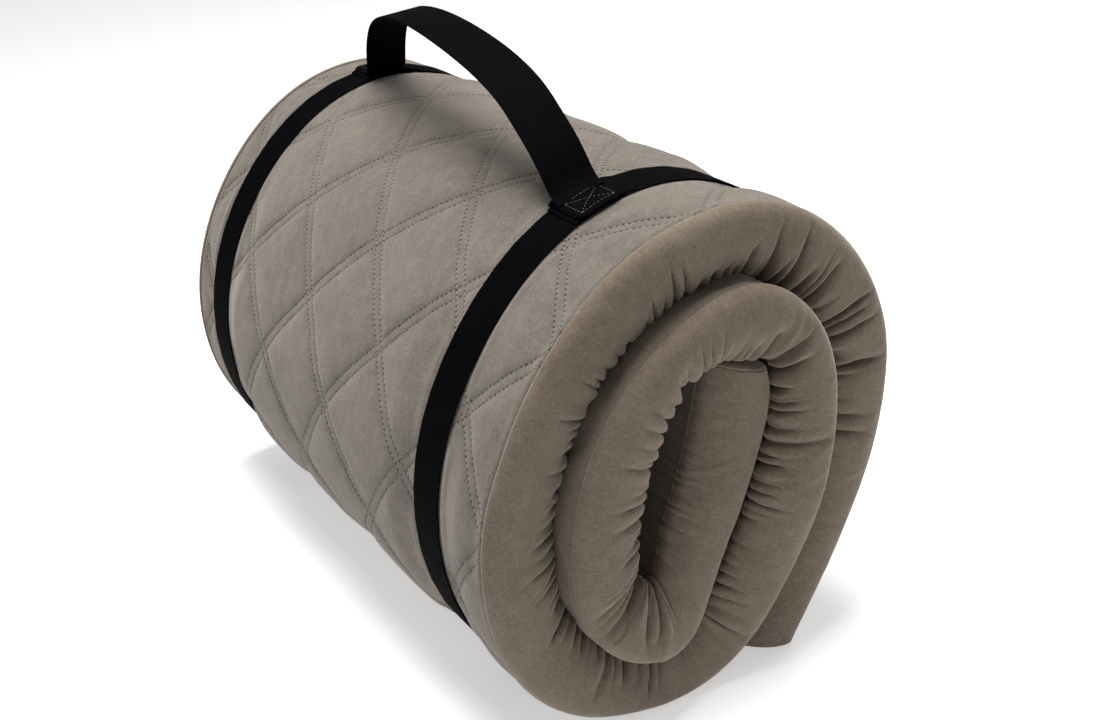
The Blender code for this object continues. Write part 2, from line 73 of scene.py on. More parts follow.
# where each strap's lap lies, (x, z) from the roll's axis before the roll leans
FEET = {"front": (-83.0, 183.0), "rear": (-37.0, 192.0)}

HANDLE_W, HANDLE_T = 40.0, 2.0
HANDLE_LEAN = math.radians(-7.0)
TAB_L = 46.0            # the handle's sewn ends, along Y
# the handle's arch between its ends: distance from the front foot, height over the feet
HANDLE_ARCH = [(54, 40), (80, 57), (110, 67), (175, 77.5), (240, 83), (310, 80), (362, 65.5)]
ARCH_SPAN = 447.5       # the span the arch is measured on

# the outer face, from the outer end inwards: degrees turned about the axis, radius
LAP_RADII = [
    (-48, 205.0), (-30, 176.5), (0, 169.5), (30, 184.0), (60, 199.0), (90, 203.0),
    (120, 190.0), (150, 174.0), (180, 172.5), (210, 184.5), (240, 200.5), (270, 197.5),
    (285, 187.0), (300, 165.5), (315, 138.5), (330, 121.0), (345, 113.0), (360, 110.5),
    (390, 118.0), (420, 139.0), (450, 151.5), (480, 132.0), (510, 118.5), (540, 116.5),
    (570, 127.5), (600, 145.5), (630, 143.5)]
# the outer face's last stretch, in the core: x, z
CORE_OUTER = [(17, -131), (28, -107), (36, -79), (43.5, -44), (48, -10), (50.5, 25),
              (50, 50), (46.5, 68), (39, 83)]
# the inner face in the core: degrees turned, x, z
CORE_INNER = [
    (405, 47.5, 66), (420, 41, 86), (435, 23, 93.5), (450, 2, 94), (465, -18, 90),
    (480, -34, 80.5), (495, -45, 62), (510, -52, 40), (525, -56, 17), (540, -57.5, -5),
    (555, -57, -28), (570, -54, -49), (585, -48.5, -67), (600, -41, -80), (615, -33, -86),
    (630, -26, -84)]
# the inner face opposite CORE_OUTER's points: x, z
CORE_INNER_END = [(-22, -77), (-18.5, -66), (-15, -52), (-12, -32), (-10, -8), (-8.5, 20),
                  (-9, 46), (-11, 66), (-12, 84)]
CORE_START = 390        # degrees turned where the inner face goes over to the tables above
TAIL_AIM = (89.0, -154.0)   # the outer end's cut face points here


# ------------------------------------------------------------------ curves
def spline(knots, values):
    """Natural cubic spline through rows of values; gives a function of the knots' variable."""
    knots, values = np.asarray(knots, float), np.asarray(values, float)
    count, gap = len(knots), np.diff(knots)
    matrix, right = np.zeros((count, count)), np.zeros_like(values)
    matrix[0, 0] = matrix[-1, -1] = 1.0
    for i in range(1, count - 1):
        matrix[i, i - 1:i + 2] = gap[i - 1], 2 * (gap[i - 1] + gap[i]), gap[i]
        right[i] = 6 * ((values[i + 1] - values[i]) / gap[i]
                        - (values[i] - values[i - 1]) / gap[i - 1])
    curve = np.linalg.solve(matrix, right)

    def at(x):
        x = np.atleast_1d(np.asarray(x, float))
        i = np.clip(np.searchsorted(knots, x) - 1, 0, count - 2)
        left, past, wide = (knots[i + 1] - x)[:, None], (x - knots[i])[:, None], gap[i][:, None]
        return ((curve[i] * left**3 + curve[i + 1] * past**3) / (6 * wide)
                + (values[i] / wide - curve[i] * wide / 6) * left
                + (values[i + 1] / wide - curve[i + 1] * wide / 6) * past)
    return at


def lengths(points):
    return np.r_[0, np.cumsum(np.linalg.norm(np.diff(points, axis=0), axis=1))]


def unit(vectors):
    return vectors / np.maximum(np.linalg.norm(vectors, axis=-1, keepdims=True), 1e-12)


def interp_points(x, knots, points):
    return np.stack([np.interp(x, knots, column) for column in points.T], -1)


def cross(a, b):
    return a[..., 0] * b[..., 1] - a[..., 1] * b[..., 0]


def right_of(tangents):
    """Section directions turned a quarter to the right: out of the roll, off its outer face."""
    return np.stack([tangents[..., 1], -tangents[..., 0]], -1)


def ramp(x, start, end):
    """0 at start, 1 at end, smooth between."""
    share = np.clip((np.asarray(x, float) - start) / (end - start), 0, 1)
    return share * share * (3 - 2 * share)


def hill(offset, width):
    return np.exp(-(offset / width)**2)


def spaced(low, high, step):
    return np.linspace(low, high, max(2, int(round((high - low) / step)) + 1))


def running_mean(values, count):
    return np.convolve(np.pad(values, count // 2, mode="edge"), np.ones(count) / count, "valid")


def turn(points, angle):
    c, s = math.cos(angle), math.sin(angle)
    x, z = points[..., 0], points[..., 1]
    return np.stack([x * c + z * s, -x * s + z * c], -1)


def in_space(section, y):
    """3-D points from points of the section, shape (..., 2), and their y."""
    return np.stack(np.broadcast_arrays(section[..., 0], y, section[..., 1]), -1)


def on_floor(points, lowest=0.7):
    points[..., 2] = np.maximum(points[..., 2], lowest)
    return points


def hull(points):
    """Convex hull, counter-clockwise."""
    ordered = sorted(map(tuple, points))

    def half(side):
        kept = []
        for p in side:
            while len(kept) > 1 and cross(np.subtract(kept[-1], kept[-2]),
                                          np.subtract(p, kept[-2])) <= 0:
                kept.pop()
            kept.append(p)
        return kept
    return np.array(half(ordered)[:-1] + half(ordered[::-1])[:-1])


# ------------------------------------------------------------------ the roll's section
def slab_section():
    """The slab before it leans: distances along it, its outer and inner points, the degrees
    turned at each, and a function that gives the distance at a number of degrees."""
    turned = np.array([angle for angle, _ in LAP_RADII], float)
    laps = [(r * math.cos(math.radians(a)), r * math.sin(math.radians(a)))
            for a, r in LAP_RADII]
    knots = np.array(laps + CORE_OUTER, float)
    chords = lengths(knots)
    fine_at = np.linspace(0, chords[-1], 1600)
    fine = spline(chords, knots)(fine_at)
    run = lengths(fine)
    knot_along = np.interp(chords, fine_at, run)
    lap_along = knot_along[:len(turned)]

    def along_at(angle):
        return float(np.interp(angle, turned, lap_along))

    along = np.linspace(0, run[-1], int(round(run[-1] / SECTION_STEP)) + 1)
    outer = interp_points(along, run, fine)
    inward = -right_of(unit(np.gradient(outer, axis=0)))
    end_direction = unit(np.array(TAIL_AIM) - outer[0])
    core = int(np.searchsorted(along, along_at(CORE_START)))
    skip = int(350 / SECTION_STEP)      # stations to skip before the next turn can lie inside
    inner = np.zeros_like(outer)
    for i in range(core):
        # full thickness, or as far as the turn that lies inside
        tail = ramp(1 - along[i] / 70.0, 0, 1)
        direction = unit((1 - tail) * inward[i] + tail * end_direction)
        start, end = outer[i + skip:-1], outer[i + skip + 1:]
        edge, to_edge = end - start, start - outer[i]
        det = cross(edge, direction)
        det[np.abs(det) < 1e-9] = 1e-9
        distance = cross(edge, to_edge) / det
        share = cross(direction, to_edge) / det
        hit = (distance > 5) & (share >= 0) & (share <= 1)
        reach = [distance[hit].min() - LAP_GAP] if hit.any() else []
        inner[i] = outer[i] + direction * min([FREE_THICK] + reach)
    core_along = ([along[core - 12], along[core - 1]] + [along_at(a) for a, _, _ in CORE_INNER]
                  + list(knot_along[len(turned):]))
    core_points = ([inner[core - 12], inner[core - 1]] + [(x, z) for _, x, z in CORE_INNER]
                   + CORE_INNER_END)
    inner[core:] = spline(core_along, np.array(core_points, float))(along[core:])
    return along, outer, inner, np.interp(along, lap_along, turned), along_at


def frame_stations(along, outer, inner):
    """Indices of the coarser stations that the frame's solids are built on."""
    tangent = unit(np.gradient(outer, axis=0))
    heading = np.unwrap(np.arctan2(tangent[:, 1], tangent[:, 0]))
    count = len(along)
    stations = [0, 2]
    for i in range(3, count - 3):
        last = stations[-1]
        if (along[i] - along[last] > 26.0
                or abs(heading[i] - heading[last]) > math.radians(10.0)
                or np.hypot(*(inner[i] - inner[last])) > 19.0):
            stations.append(i)
    if along[-1] - along[stations[-1]] < 10.0:
        stations.pop()
    return np.array(stations + [count - 3, count - 2, count - 1])


def resting_angle(outline):
    """The roll rests on the longest side of its outline; this is that side's slope."""
    corners = hull(outline)
    edges = corners - np.roll(corners, 1, axis=0)
    edge = max(edges, key=lambda e: np.hypot(*e))
    return math.atan2(edge[1], edge[0])


ALONG, _outer, _inner, TURNED, along_at = slab_section()
LENGTH = ALONG[-1]
STATIONS = frame_stations(ALONG, _outer, _inner)
LEAN = resting_angle(_outer[STATIONS])
OUTER, INNER = turn(_outer, LEAN), turn(_inner, LEAN)
AXIS_H = -OUTER[STATIONS, 1].min() + STRAP_CLEAR + STRAP_T
OUTER[:, 1] += AXIS_H
INNER[:, 1] += AXIS_H

# the inner turns stand out to the front, and most of that is taken back in the core
_core = ALONG[TURNED < 620].max()
SHIFT_Y = -TELESCOPE * (ramp(TURNED, 262, 350) - 0.85 * ramp(ALONG, _core, _core + 130))


def shift_at(along):
    return np.interp(along, ALONG, SHIFT_Y)


# the section is worked out about the roll's axis; the frame's origin is in the middle of the
# footprint
_low, _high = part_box("quilt_face")
ORIGIN_SHIFT = np.array([_low.x / MM - OUTER[STATIONS, 0].min(), _high.y / MM - HALF, 0.0])
assert abs(ORIGIN_SHIFT[0]) < 3.0, "the frame's section has changed"
assert abs(_high.z / MM - OUTER[STATIONS, 1].max()) < 0.5, "the frame's section has changed"

# smooth curves through both faces
_knots = np.r_[np.arange(0, LENGTH - 6, 8.0), LENGTH]
outer_at = spline(_knots, interp_points(_knots, ALONG, OUTER))
_smooth = np.stack([running_mean(INNER[:, k], 9) for k in (0, 1)], 1)
_smooth[:5], _smooth[-5:] = INNER[:5], INNER[-5:]
inner_at = spline(_knots, interp_points(_knots, ALONG, _smooth))

# share by which the inner face is shorter than the outer one, all along the slab
_outer_pace, _inner_pace = (np.linalg.norm(np.gradient(face, axis=0), axis=1)
                            for face in (OUTER, _smooth))
EXCESS = running_mean(np.clip(1 - _inner_pace / _outer_pace, 0, 0.95), 31)


# ------------------------------------------------------------------ seeded noise
def noise(x, y, seed):
    """Smooth value noise of unit cells, about -1 to 1."""
    values = np.random.RandomState(seed).rand(128, 128) * 2 - 1
    x, y = np.asarray(x, float), np.asarray(y, float)
    xi, yi = np.floor(x).astype(int), np.floor(y).astype(int)
    fx, fy = x - xi, y - yi
    fx, fy = fx**3 * (fx * (fx * 6 - 15) + 10), fy**3 * (fy * (fy * 6 - 15) + 10)

    def at(i, j):
        return values[i % 128, j % 128]
    return (at(xi, yi) * (1 - fx) * (1 - fy) + at(xi + 1, yi) * fx * (1 - fy)
            + at(xi, yi + 1) * (1 - fx) * fy + at(xi + 1, yi + 1) * fx * fy)


def fbm(x, y, seed, octaves=3):
    """Octaves of noise, each slid so that their cells do not line up."""
    return sum(noise(x * 2**k + 17.3 * k, y * 2**k - 9.1 * k, seed + k) * 0.5**k
               for k in range(octaves))


# ------------------------------------------------------------------ meshes
def mesh_from(name, points, quads, uv=None, smooth=True):
    """Object from points, quads, and a cloth coordinate for each point."""
    mesh = bpy.data.meshes.new(name)
    points = (np.asarray(points, float).reshape(-1, 3) + ORIGIN_SHIFT) * MM
    mesh.vertices.add(len(points))
    mesh.vertices.foreach_set("co", points.ravel())
    quads = np.asarray(quads, int).reshape(-1, 4)
    corners = quads.ravel()
    mesh.loops.add(len(corners))
    mesh.loops.foreach_set("vertex_index", corners)
    mesh.polygons.add(len(quads))
    mesh.polygons.foreach_set("loop_start", np.arange(len(quads)) * 4)
    mesh.polygons.foreach_set("use_smooth", np.full(len(quads), smooth))
    if uv is not None:
        layer = mesh.uv_layers.new(name="cloth")
        uv = np.asarray(uv, float).reshape(-1, 2)[corners] * MM
        layer.data.foreach_set("uv", uv.ravel())
    mesh.update(calc_edges=True)
    mesh.validate()
    ob = bpy.data.objects.new(name, mesh)
    bpy.context.scene.collection.objects.link(ob)
    return ob


def grid_quads(rows, columns, flip=False, wrap=False):
    i = np.arange(rows * columns).reshape(rows, columns)
    if wrap:
        i = np.concatenate([i, i[:, :1]], 1)
    quads = np.stack([i[:-1, :-1], i[1:, :-1], i[1:, 1:], i[:-1, 1:]], -1).reshape(-1, 4)
    return quads[:, ::-1] if flip else quads


def grid(name, points, uv, flip=False):
    return mesh_from(name, points, grid_quads(*points.shape[:2], flip=flip), uv)


def tube(name, rings, uv, sharp_degrees=None):
    """Closed solid through rings of points; flat shaded where no sharp angle is given."""
    smooth = sharp_degrees is not None
    ob = mesh_from(name, rings, grid_quads(*rings.shape[:2], wrap=True), uv, smooth)
    bm = bmesh.new()
    bm.from_mesh(ob.data)
    bmesh.ops.holes_fill(bm, edges=[e for e in bm.edges if e.is_boundary], sides=0)
    bmesh.ops.recalc_face_normals(bm, faces=bm.faces)
    bm.to_mesh(ob.data)
    bm.free()
    if smooth:
        ob.data.set_sharp_from_angle(angle=math.radians(sharp_degrees))
    return ob


def solidify(ob, thickness, offset=-1.0):
    modifier = ob.modifiers.new("cloth_thickness", "SOLIDIFY")
    modifier.thickness = thickness * MM
    modifier.offset = offset
    modifier.use_rim = True


def fit(ob, material, group, slot, *nodes):
    """Give a piece its material, the group it rides with and the nodes it replaces; slot is not
    used.
    """
    ob.data.materials.append(material)
    if nodes:
        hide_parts(*nodes)
    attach(ob, group)


# ------------------------------------------------------------------ node materials
def maths(operation):
    def method(self, *others):
        return add_node(self.tree, "Math", dict(enumerate((self,) + others)),
                        operation=operation)
    return method


class Value:
    """A socket in a node tree; arithmetic on it adds maths nodes."""

    def __init__(self, tree, socket):
        self.tree, self.socket = tree, socket

    __add__ = __radd__ = maths("ADD")
    __sub__ = maths("SUBTRACT")
    __mul__ = __rmul__ = maths("MULTIPLY")
    __truediv__ = maths("DIVIDE")
    abs = maths("ABSOLUTE")
    floor = maths("FLOOR")
    round = maths("ROUND")
    sin = maths("SINE")
    sqrt = maths("SQRT")
    max = maths("MAXIMUM")

    def __rsub__(self, other):
        return (self * -1.0) + other

    def step(self, start, end):
        """0 at start, 1 at end, smooth between."""
        return add_node(self.tree, "MapRange",
                        {"Value": self, "From Min": start, "From Max": end},
                        output="Result", interpolation_type="SMOOTHSTEP")


def feed(tree, target, source):
    """Link a Value to a node's input, or set the input to a number or tuple."""
    if isinstance(source, Value):
        tree.links.new(source.socket, target)
    else:
        target.default_value = source


def add_node(tree, kind, inputs, output=0, **settings):
    node = tree.nodes.new("ShaderNode" + kind)
    for name, setting in settings.items():
        setattr(node, name, setting)
    for key, source in inputs.items():
        feed(tree, node.inputs[key], source)
    return Value(tree, node.outputs[output])


class Material:
    def __init__(self, name):
        self.material = bpy.data.materials.new(name)
        self.material.use_nodes = True
        self.tree = self.material.node_tree
        self.inputs = self.tree.nodes["Principled BSDF"].inputs

    def split(self, vector):
        node = add_node(self.tree, "SeparateXYZ", {0: vector}).socket.node
        return [Value(self.tree, output) for output in node.outputs]

    def cloth(self):
        """Cloth coordinates in millimetres: along the slab and across its width."""
        x, y, _ = self.split(add_node(self.tree, "UVMap", {}, uv_map="cloth"))
        return x * 1000.0, y * 1000.0

    def cloth_vector(self, u, v, z=0.0):
        return add_node(self.tree, "CombineXYZ", {0: u * 0.001, 1: v * 0.001, 2: z})

    def place(self):
        return add_node(self.tree, "TexCoord", {}, output="Object")

    def noise(self, vector, scale, detail, roughness=0.6, distortion=0.0, stretch=None):
        if stretch:
            vector = add_node(self.tree, "Mapping", {"Vector": vector, "Scale": stretch})
        return add_node(self.tree, "TexNoise",
                        {"Vector": vector, "Scale": scale, "Detail": detail,
                         "Roughness": roughness, "Distortion": distortion}, output="Fac")

    def mix(self, first, second, share):
        """From the first colour to the second by share."""
        return add_node(self.tree, "Mix",
                        {"A": (*first, 1.0), "B": (*second, 1.0), "Factor": share},
                        output="Result", data_type="RGBA")

    def colour(self, colour, brightness=None):
        if brightness is not None:
            colour = add_node(self.tree, "VectorMath", {0: colour, "Scale": brightness},
                              operation="SCALE")
        feed(self.tree, self.inputs["Base Color"], colour)

    def surface(self, roughness, sheen=0.0, sheen_roughness=0.4, sheen_tint=(1, 1, 1),
                metallic=0.0, specular=None):
        feed(self.tree, self.inputs["Roughness"], roughness)
        self.inputs["Metallic"].default_value = metallic
        self.inputs["Sheen Weight"].default_value = sheen
        self.inputs["Sheen Roughness"].default_value = sheen_roughness
        self.inputs["Sheen Tint"].default_value = (*sheen_tint, 1)
        if specular is not None:
            self.inputs["Specular IOR Level"].default_value = specular

    def bump(self, height, distance, strength):
        """Distance in millimetres."""
        normal = add_node(self.tree, "Bump", {"Strength": strength, "Distance": distance * MM,
                                              "Height": height})
        feed(self.tree, self.inputs["Normal"], normal)


# quilting: diamonds whose seams lie 100 units apart; each seam is two rows of stitches
QUILT_ALONG, QUILT_ACROSS = 144.0, 139.0    # a diamond's diagonals
QUILT_START, QUILT_Y = along_at(171.5), -HALF + 64.0    # where two seams cross
ROW = 4.25              # from a seam's middle to each of its rows
PITCH = 4.7             # from stitch to stitch


def seam_numbers(along, y):
    """Place counted in seams of each family: whole numbers lie on a seam."""
    return ((along - QUILT_START) / QUILT_ALONG + (y - QUILT_Y) / QUILT_ACROSS,
            (along - QUILT_START) / QUILT_ALONG - (y - QUILT_Y) / QUILT_ACROSS)


def nap(mat, u, v):
    """Brushed pile: broad mottling, fine flecks, the pile's fuzz, and its grain."""
    vector = mat.cloth_vector(u, v)
    broad = mat.noise(vector, scale=16.0, detail=4.0, distortion=0.6, stretch=(1.0, 0.55, 1.0))
    fleck = mat.noise(vector, scale=95.0, detail=4.0, roughness=0.65, distortion=0.2,
                      stretch=(0.7, 1.0, 1.0))
    fuzz = mat.noise(vector, scale=1150.0, detail=2.0, roughness=0.7)
    grain = mat.noise(vector, scale=420.0, detail=3.0, distortion=0.3)
    return broad, fleck, fuzz, grain


def velour_material(name, dark, light, stitched):
    """Quilted velour; stitched is 1 to show the seams' rows and holes, with painted shade in
    them, 0 to leave them out.
    """
    mat = Material(name)
    u, v = mat.cloth()
    a, b = seam_numbers(u, v)
    broad, fleck, fuzz, grain = nap(mat, u, v)
    marks = []
    for seam, run in ((a, b * 100.0), (b, a * 100.0)):
        from_seam = ((seam - seam.round()) * 100.0).abs()
        from_row = (from_seam - ROW).abs()
        stitch = run / PITCH
        from_hole = ((stitch - stitch.round()) * PITCH).abs()
        distance = (from_row * from_row + from_hole * from_hole).sqrt()
        marks.append((1.0 - distance.step(0.55, 1.30), 1.0 - from_row.step(0.5, 2.2),
                      1.0 - from_seam.step(3.0, 13.0)))
    hole, line, trough = (first.max(second) for first, second in zip(*marks))
    speck = mat.noise(mat.cloth_vector(u, v, 0.37), scale=300.0, detail=2.0, roughness=0.7,
                      distortion=0.1)
    # shares of the mottling, flecks and specks in the tone
    tone = mat.mix(dark, light, (broad.step(0.36, 0.66) * 0.34 + fleck.step(0.36, 0.66) * 0.36
                                 + speck.step(0.34, 0.66) * 0.30))
    # painted shade: the needle holes, the rows and the troughs of the seams are darkened as if
    # shaded; fuzz and grain vary the tone either way
    painted_shade_and_pile = ((1.0 - hole * (0.66 * stitched)) * (1.0 - line * (0.07 * stitched))
             * (1.0 - trough * 0.04) * (0.91 + fuzz * 0.18)
             * (0.86 + grain.step(0.3, 0.7) * 0.28))
    mat.colour(tone, painted_shade_and_pile)
    mat.surface(roughness=0.92, sheen=0.30, sheen_roughness=0.5,
                sheen_tint=(0.80, 0.74, 0.68), specular=0.15)
    # shares of each texture in the relief
    relief = (fuzz * 0.20 + grain * 0.34 + speck * 0.30 + fleck * 0.12
              - hole * stitched - line * (0.25 * stitched))
    mat.bump(relief, distance=0.9, strength=0.85)
    return mat.material


def plain_material(name, dark, light):
    """Stretch velour with a faint knit under its pile."""
    mat = Material(name)
    u, v = mat.cloth()
    broad, fleck, fuzz, grain = nap(mat, u, v)
    knit_rate = 4.2     # radians to the millimetre
    knit = ((u * knit_rate).sin() * (v * knit_rate).sin() + 1.0) * 0.5
    streak = mat.noise(mat.cloth_vector(u, v), scale=210.0, detail=3.0, distortion=0.4,
                       stretch=(1.0, 0.35, 1.0))
    speck = mat.noise(mat.cloth_vector(u, v, 0.71), scale=430.0, detail=2.0, roughness=0.7,
                      distortion=0.1)
    # shares of the mottling, flecks, streaks and specks in the tone
    tone = mat.mix(dark, light, (broad.step(0.36, 0.66) * 0.22 + fleck.step(0.36, 0.66) * 0.22
                                 + streak.step(0.38, 0.64) * 0.22
                                 + speck.step(0.34, 0.66) * 0.28))
    mat.colour(tone, (0.88 + fuzz * 0.24) * (0.88 + grain.step(0.3, 0.7) * 0.24))
    mat.surface(roughness=0.90, sheen=0.55, sheen_roughness=0.38,
                sheen_tint=(0.80, 0.71, 0.62), specular=0.15)
    # shares of each texture in the relief
    relief = (fuzz * 0.22 + grain * 0.36 + speck * 0.36 + fleck * 0.10 + streak * 0.12
              + knit * 0.05)
    mat.bump(relief, distance=0.85, strength=0.9)
    return mat.material


def webbing_material(name, dark, light, ribs, picks, roughness, specular, by_cloth=True):
    """Ribbed webbing, with so many ribs across and picks along to the millimetre.  Parts
    without useful cloth coordinates go by their place."""
    mat = Material(name)
    if by_cloth:
        u, v = mat.cloth()
    else:
        x, y, z = mat.split(mat.place())
        u, v = y * 1000.0, (x + z) * 1000.0
    vector = mat.cloth_vector(u, v)
    rib = ((v * (2 * math.pi * ribs)).sin() + 1.0) * 0.5
    # each rib's picks are half a turn out of step with its neighbour's
    pick = ((u * (2 * math.pi * picks) + (v * ribs).floor() * math.pi).sin() + 1.0) * 0.5
    wear = mat.noise(vector, scale=60.0, detail=4.0)
    lint = mat.noise(vector, scale=900.0, detail=2.0, roughness=0.8).step(0.70, 0.80)
    # shares of ribs, picks and wear in the tone; lint brightens it
    tone = mat.mix(dark, light, (rib * 0.45 + pick * 0.25 + wear.step(0.35, 0.75) * 0.3))
    mat.colour(tone, 1.0 + lint * 0.9)
    mat.surface(roughness=roughness, specular=specular)
    mat.bump(rib * 0.6 + pick * 0.4, distance=0.28, strength=0.7)
    return mat.material


def thread_material(name, colour, sheen=0.2):
    """Twisted thread; without sheen it is matt."""
    mat = Material(name)
    place = mat.place()
    mottle = mat.noise(place, scale=1800.0, detail=2.0)
    twist = mat.noise(place, scale=520.0, detail=1.0, roughness=0.5, stretch=(1.0, 1.0, 3.0))
    light = tuple(min(1.0, c * 1.35) for c in colour)
    mat.colour(mat.mix(colour, light, mottle), 0.85 + twist * 0.3)
    mat.surface(roughness=0.55 if sheen else 0.9, sheen=sheen, specular=0.4 if sheen else 0.02)
    mat.bump(twist, distance=0.15, strength=0.6)
    return mat.material


def foam_material(name, colour, cells):
    mat = Material(name)
    place = mat.place()
    pore = add_node(mat.tree, "TexVoronoi", {"Scale": cells, "Vector": place},
                    output="Distance")
    mottle = mat.noise(place, scale=40.0, detail=3.0)
    mat.colour(mat.mix(colour, tuple(c * 0.86 for c in colour), mottle), 0.75 + pore * 0.4)
    mat.surface(roughness=0.95, sheen=0.1)
    mat.bump(pore, distance=0.5, strength=0.6)
    return mat.material


def metal_material(name, colour, roughness):
    mat = Material(name)
    place = mat.place()
    brushing = mat.noise(place, scale=900.0, detail=2.0, stretch=(1.0, 6.0, 1.0))
    stain = mat.noise(place, scale=180.0, detail=3.0)
    mat.colour(mat.mix(colour, tuple(c * 0.7 for c in colour), stain.step(0.45, 0.75)))
    mat.surface(roughness=roughness + brushing * 0.18, metallic=1.0)
    mat.bump(brushing, distance=0.03, strength=0.4)
    return mat.material


VELOUR = velour_material("velour_quilted", dark=(0.098, 0.085, 0.071),
                         light=(0.156, 0.138, 0.116), stitched=1.0)
# the inner turns' copy of the quilted velour, without stitches: its browner tone is painted
# shade of the crevices between the turns
VELOUR_INNER_PAINTED_SHADE = velour_material("velour_quilted_inner_painted_shade", dark=(0.122, 0.098, 0.075),
                               light=(0.158, 0.129, 0.101), stitched=0.0)
BORDER = plain_material("stretch_velour_border", dark=(0.126, 0.098, 0.073),
                        light=(0.182, 0.147, 0.114))
UNDERSIDE = plain_material("stretch_velour_underside", dark=(0.130, 0.107, 0.087),
                           light=(0.150, 0.126, 0.103))
BLACK = dict(dark=(0.0007, 0.0007, 0.0009), light=(0.0022, 0.0022, 0.0028))
STRAP = webbing_material("strap_elastic_ribbed", **BLACK, ribs=0.36, picks=0.62,
                         roughness=0.8, specular=0.015)
HANDLE = webbing_material("handle_webbing_ribbed", **BLACK, ribs=0.30, picks=0.55,
                          roughness=0.75, specular=0.015)
THREAD = thread_material("quilting_thread", (0.20, 0.175, 0.145))
GREY_THREAD = thread_material("box_stitch_grey_thread", (0.060, 0.066, 0.078))
BLACK_THREAD = thread_material("box_stitch_black_thread", (0.012, 0.012, 0.015))
FIBRE = thread_material("frayed_black_fibre", (0.0015, 0.0015, 0.002), sheen=0.0)
TAPE = webbing_material("zip_tape_woven", dark=(0.15, 0.125, 0.10), light=(0.21, 0.18, 0.15),
                        ribs=0.9, picks=1.1, roughness=0.8, specular=0.2, by_cloth=False)
COIL = thread_material("zip_coil_nylon", (0.16, 0.135, 0.11))
METAL = metal_material("zip_metal_nickel", (0.52, 0.52, 0.53), roughness=0.3)
VISCO = foam_material("visco_foam_cells", (0.86, 0.80, 0.62), cells=900.0)
BASE = foam_material("base_foam_cells", (0.72, 0.76, 0.80), cells=600.0)
# a material for the wadding, which has no piece of its own
foam_material("wadding_fibre", (0.85, 0.85, 0.83), cells=1400.0)

# ------------------------------------------------------------------ quilted face
QUILT_SPLIT = along_at(317)     # the outer turn's detailed panel ends here


def swell(along, y):
    """How far the outer turn stands out over the solid's face: nothing under the straps."""
    from_strap = np.min([np.abs(y - strap_y) for strap_y in STRAP_Y], axis=0)

    def part_turn(start, end):
        """1 between two angles, faded over 22 degrees at each."""
        return (ramp(along, along_at(start), along_at(start + 22))
                * (1 - ramp(along, along_at(end - 22), along_at(end))))

    out = (3.0 * ramp(QUILT_SPLIT - along, 0.0, 160.0) * ramp(along, 4.0, 90.0)
           + 4.5 * part_turn(172, 272) + 3.0 * part_turn(18, 108))
    # the short end beyond the rear strap hardly swells, the front end a little less than the
    # middle
    rear_strap, front_strap = STRAP_Y[1], STRAP_Y[0]
    out = out * (1 - 0.9 * ramp(y, rear_strap, rear_strap + 20.0)
                 - 0.28 * (1 - ramp(y, front_strap - 20.0, front_strap)))
    return out * ramp(from_strap, 21.0, 62.0)


def channel(distance):
    """Height over a seam: a shallow band between its rows, a dip at each row, then the puff."""
    floor_height, puff, puff_width = -1.9, 3.5, 12.0
    rise = floor_height + puff * (1 - np.exp(-np.maximum(distance - ROW, 0) / puff_width))
    dip = 0.75 * hill(distance - ROW, 1.6)
    return np.where(distance < ROW, floor_height, rise) - dip


def pucker(seam, other, stretch, jump, seed):
    """Short folds that the stitches draw across a seam, different on each seam."""
    distance = np.abs(seam - np.round(seam)) * 100.0
    folds = noise(other * 100.0 / 5.2 + stretch * np.round(seam),
                  distance / 16.0 + np.round(seam) * jump, seed)
    return folds * np.exp(-np.maximum(distance - ROW, 0) / 8.0) * ramp(distance, 2.0, 6.5)


def quilt_height(along, y):
    """Height of the quilted face over the solid's face."""
    a, b = seam_numbers(along, y)
    over_a, over_b = (channel(np.abs(seam - np.round(seam)) * 100.0) for seam in (a, b))
    soft = 1.1          # how gently the two channels run together
    height = -soft * np.log(np.exp(-over_a / soft) + np.exp(-over_b / soft)) + 0.25
    height = height + 0.42 * (pucker(a, b, stretch=3.1, jump=7, seed=11)
                              + pucker(b, a, stretch=2.3, jump=5, seed=12))
    # slack in the cloth, broad and fine
    height = height + (0.75 * fbm(along / 58.0, y / 74.0, seed=21)
                       + 0.22 * fbm(along / 17.0, y / 21.0, seed=31, octaves=2))
    # edges: the panel rolls down into the border seam, and the seam draws it in
    edge = HALF - np.abs(y)
    height = (height * ramp(edge, 1.0, 16.0) - 1.2 * (1 - ramp(edge, 0.5, 26.0))
              - 1.5 * hill(edge, 1.3) + 0.5 * hill(edge - 5.0, 3.0))
    # the outer end's seam draws it in too
    tail = 1 - ramp(along, 0.0, 14.0)
    height = height * (1 - tail) + tail * (-0.4) - 1.2 * hill(along, 1.6)
    # straps press the puffs flat, and the fabric swells beside them
    for strap_y in STRAP_Y:
        from_strap = np.abs(y - strap_y)
        press = 1 - ramp(from_strap, 19.0, 25.0)
        ridge = (1.25 * hill(from_strap - 25.5, 4.2)
                 * (0.8 + 0.35 * noise(along / 19.0, y / 40.0, seed=41)))
        height = height * (1 - press) + press * (-0.25) + ridge
    return height + swell(along, y)


# close rows of points where cloth rolls over its edge, as depths from that edge
EDGE = np.array([0.0, 0.5, 1.1, 1.9, 2.9, 4.2, 5.8, 7.8, 10.0])


def quilt_panel(name, along, y, material, highest=None):
    outer = outer_at(along)
    normal = right_of(unit(np.gradient(outer, along, axis=0)))
    along_grid, y_grid = np.meshgrid(along, y, indexing="ij")
    height = quilt_height(along_grid, y_grid)
    if highest is not None:
        height = np.minimum(height, highest)
    points = on_floor(in_space(outer[:, None] + normal[:, None] * height[..., None],
                               y_grid + shift_at(along)[:, None]))
    ob = grid(name, points, np.stack([along_grid, y_grid], -1), flip=True)
    solidify(ob, 1.3)
    return ob, material


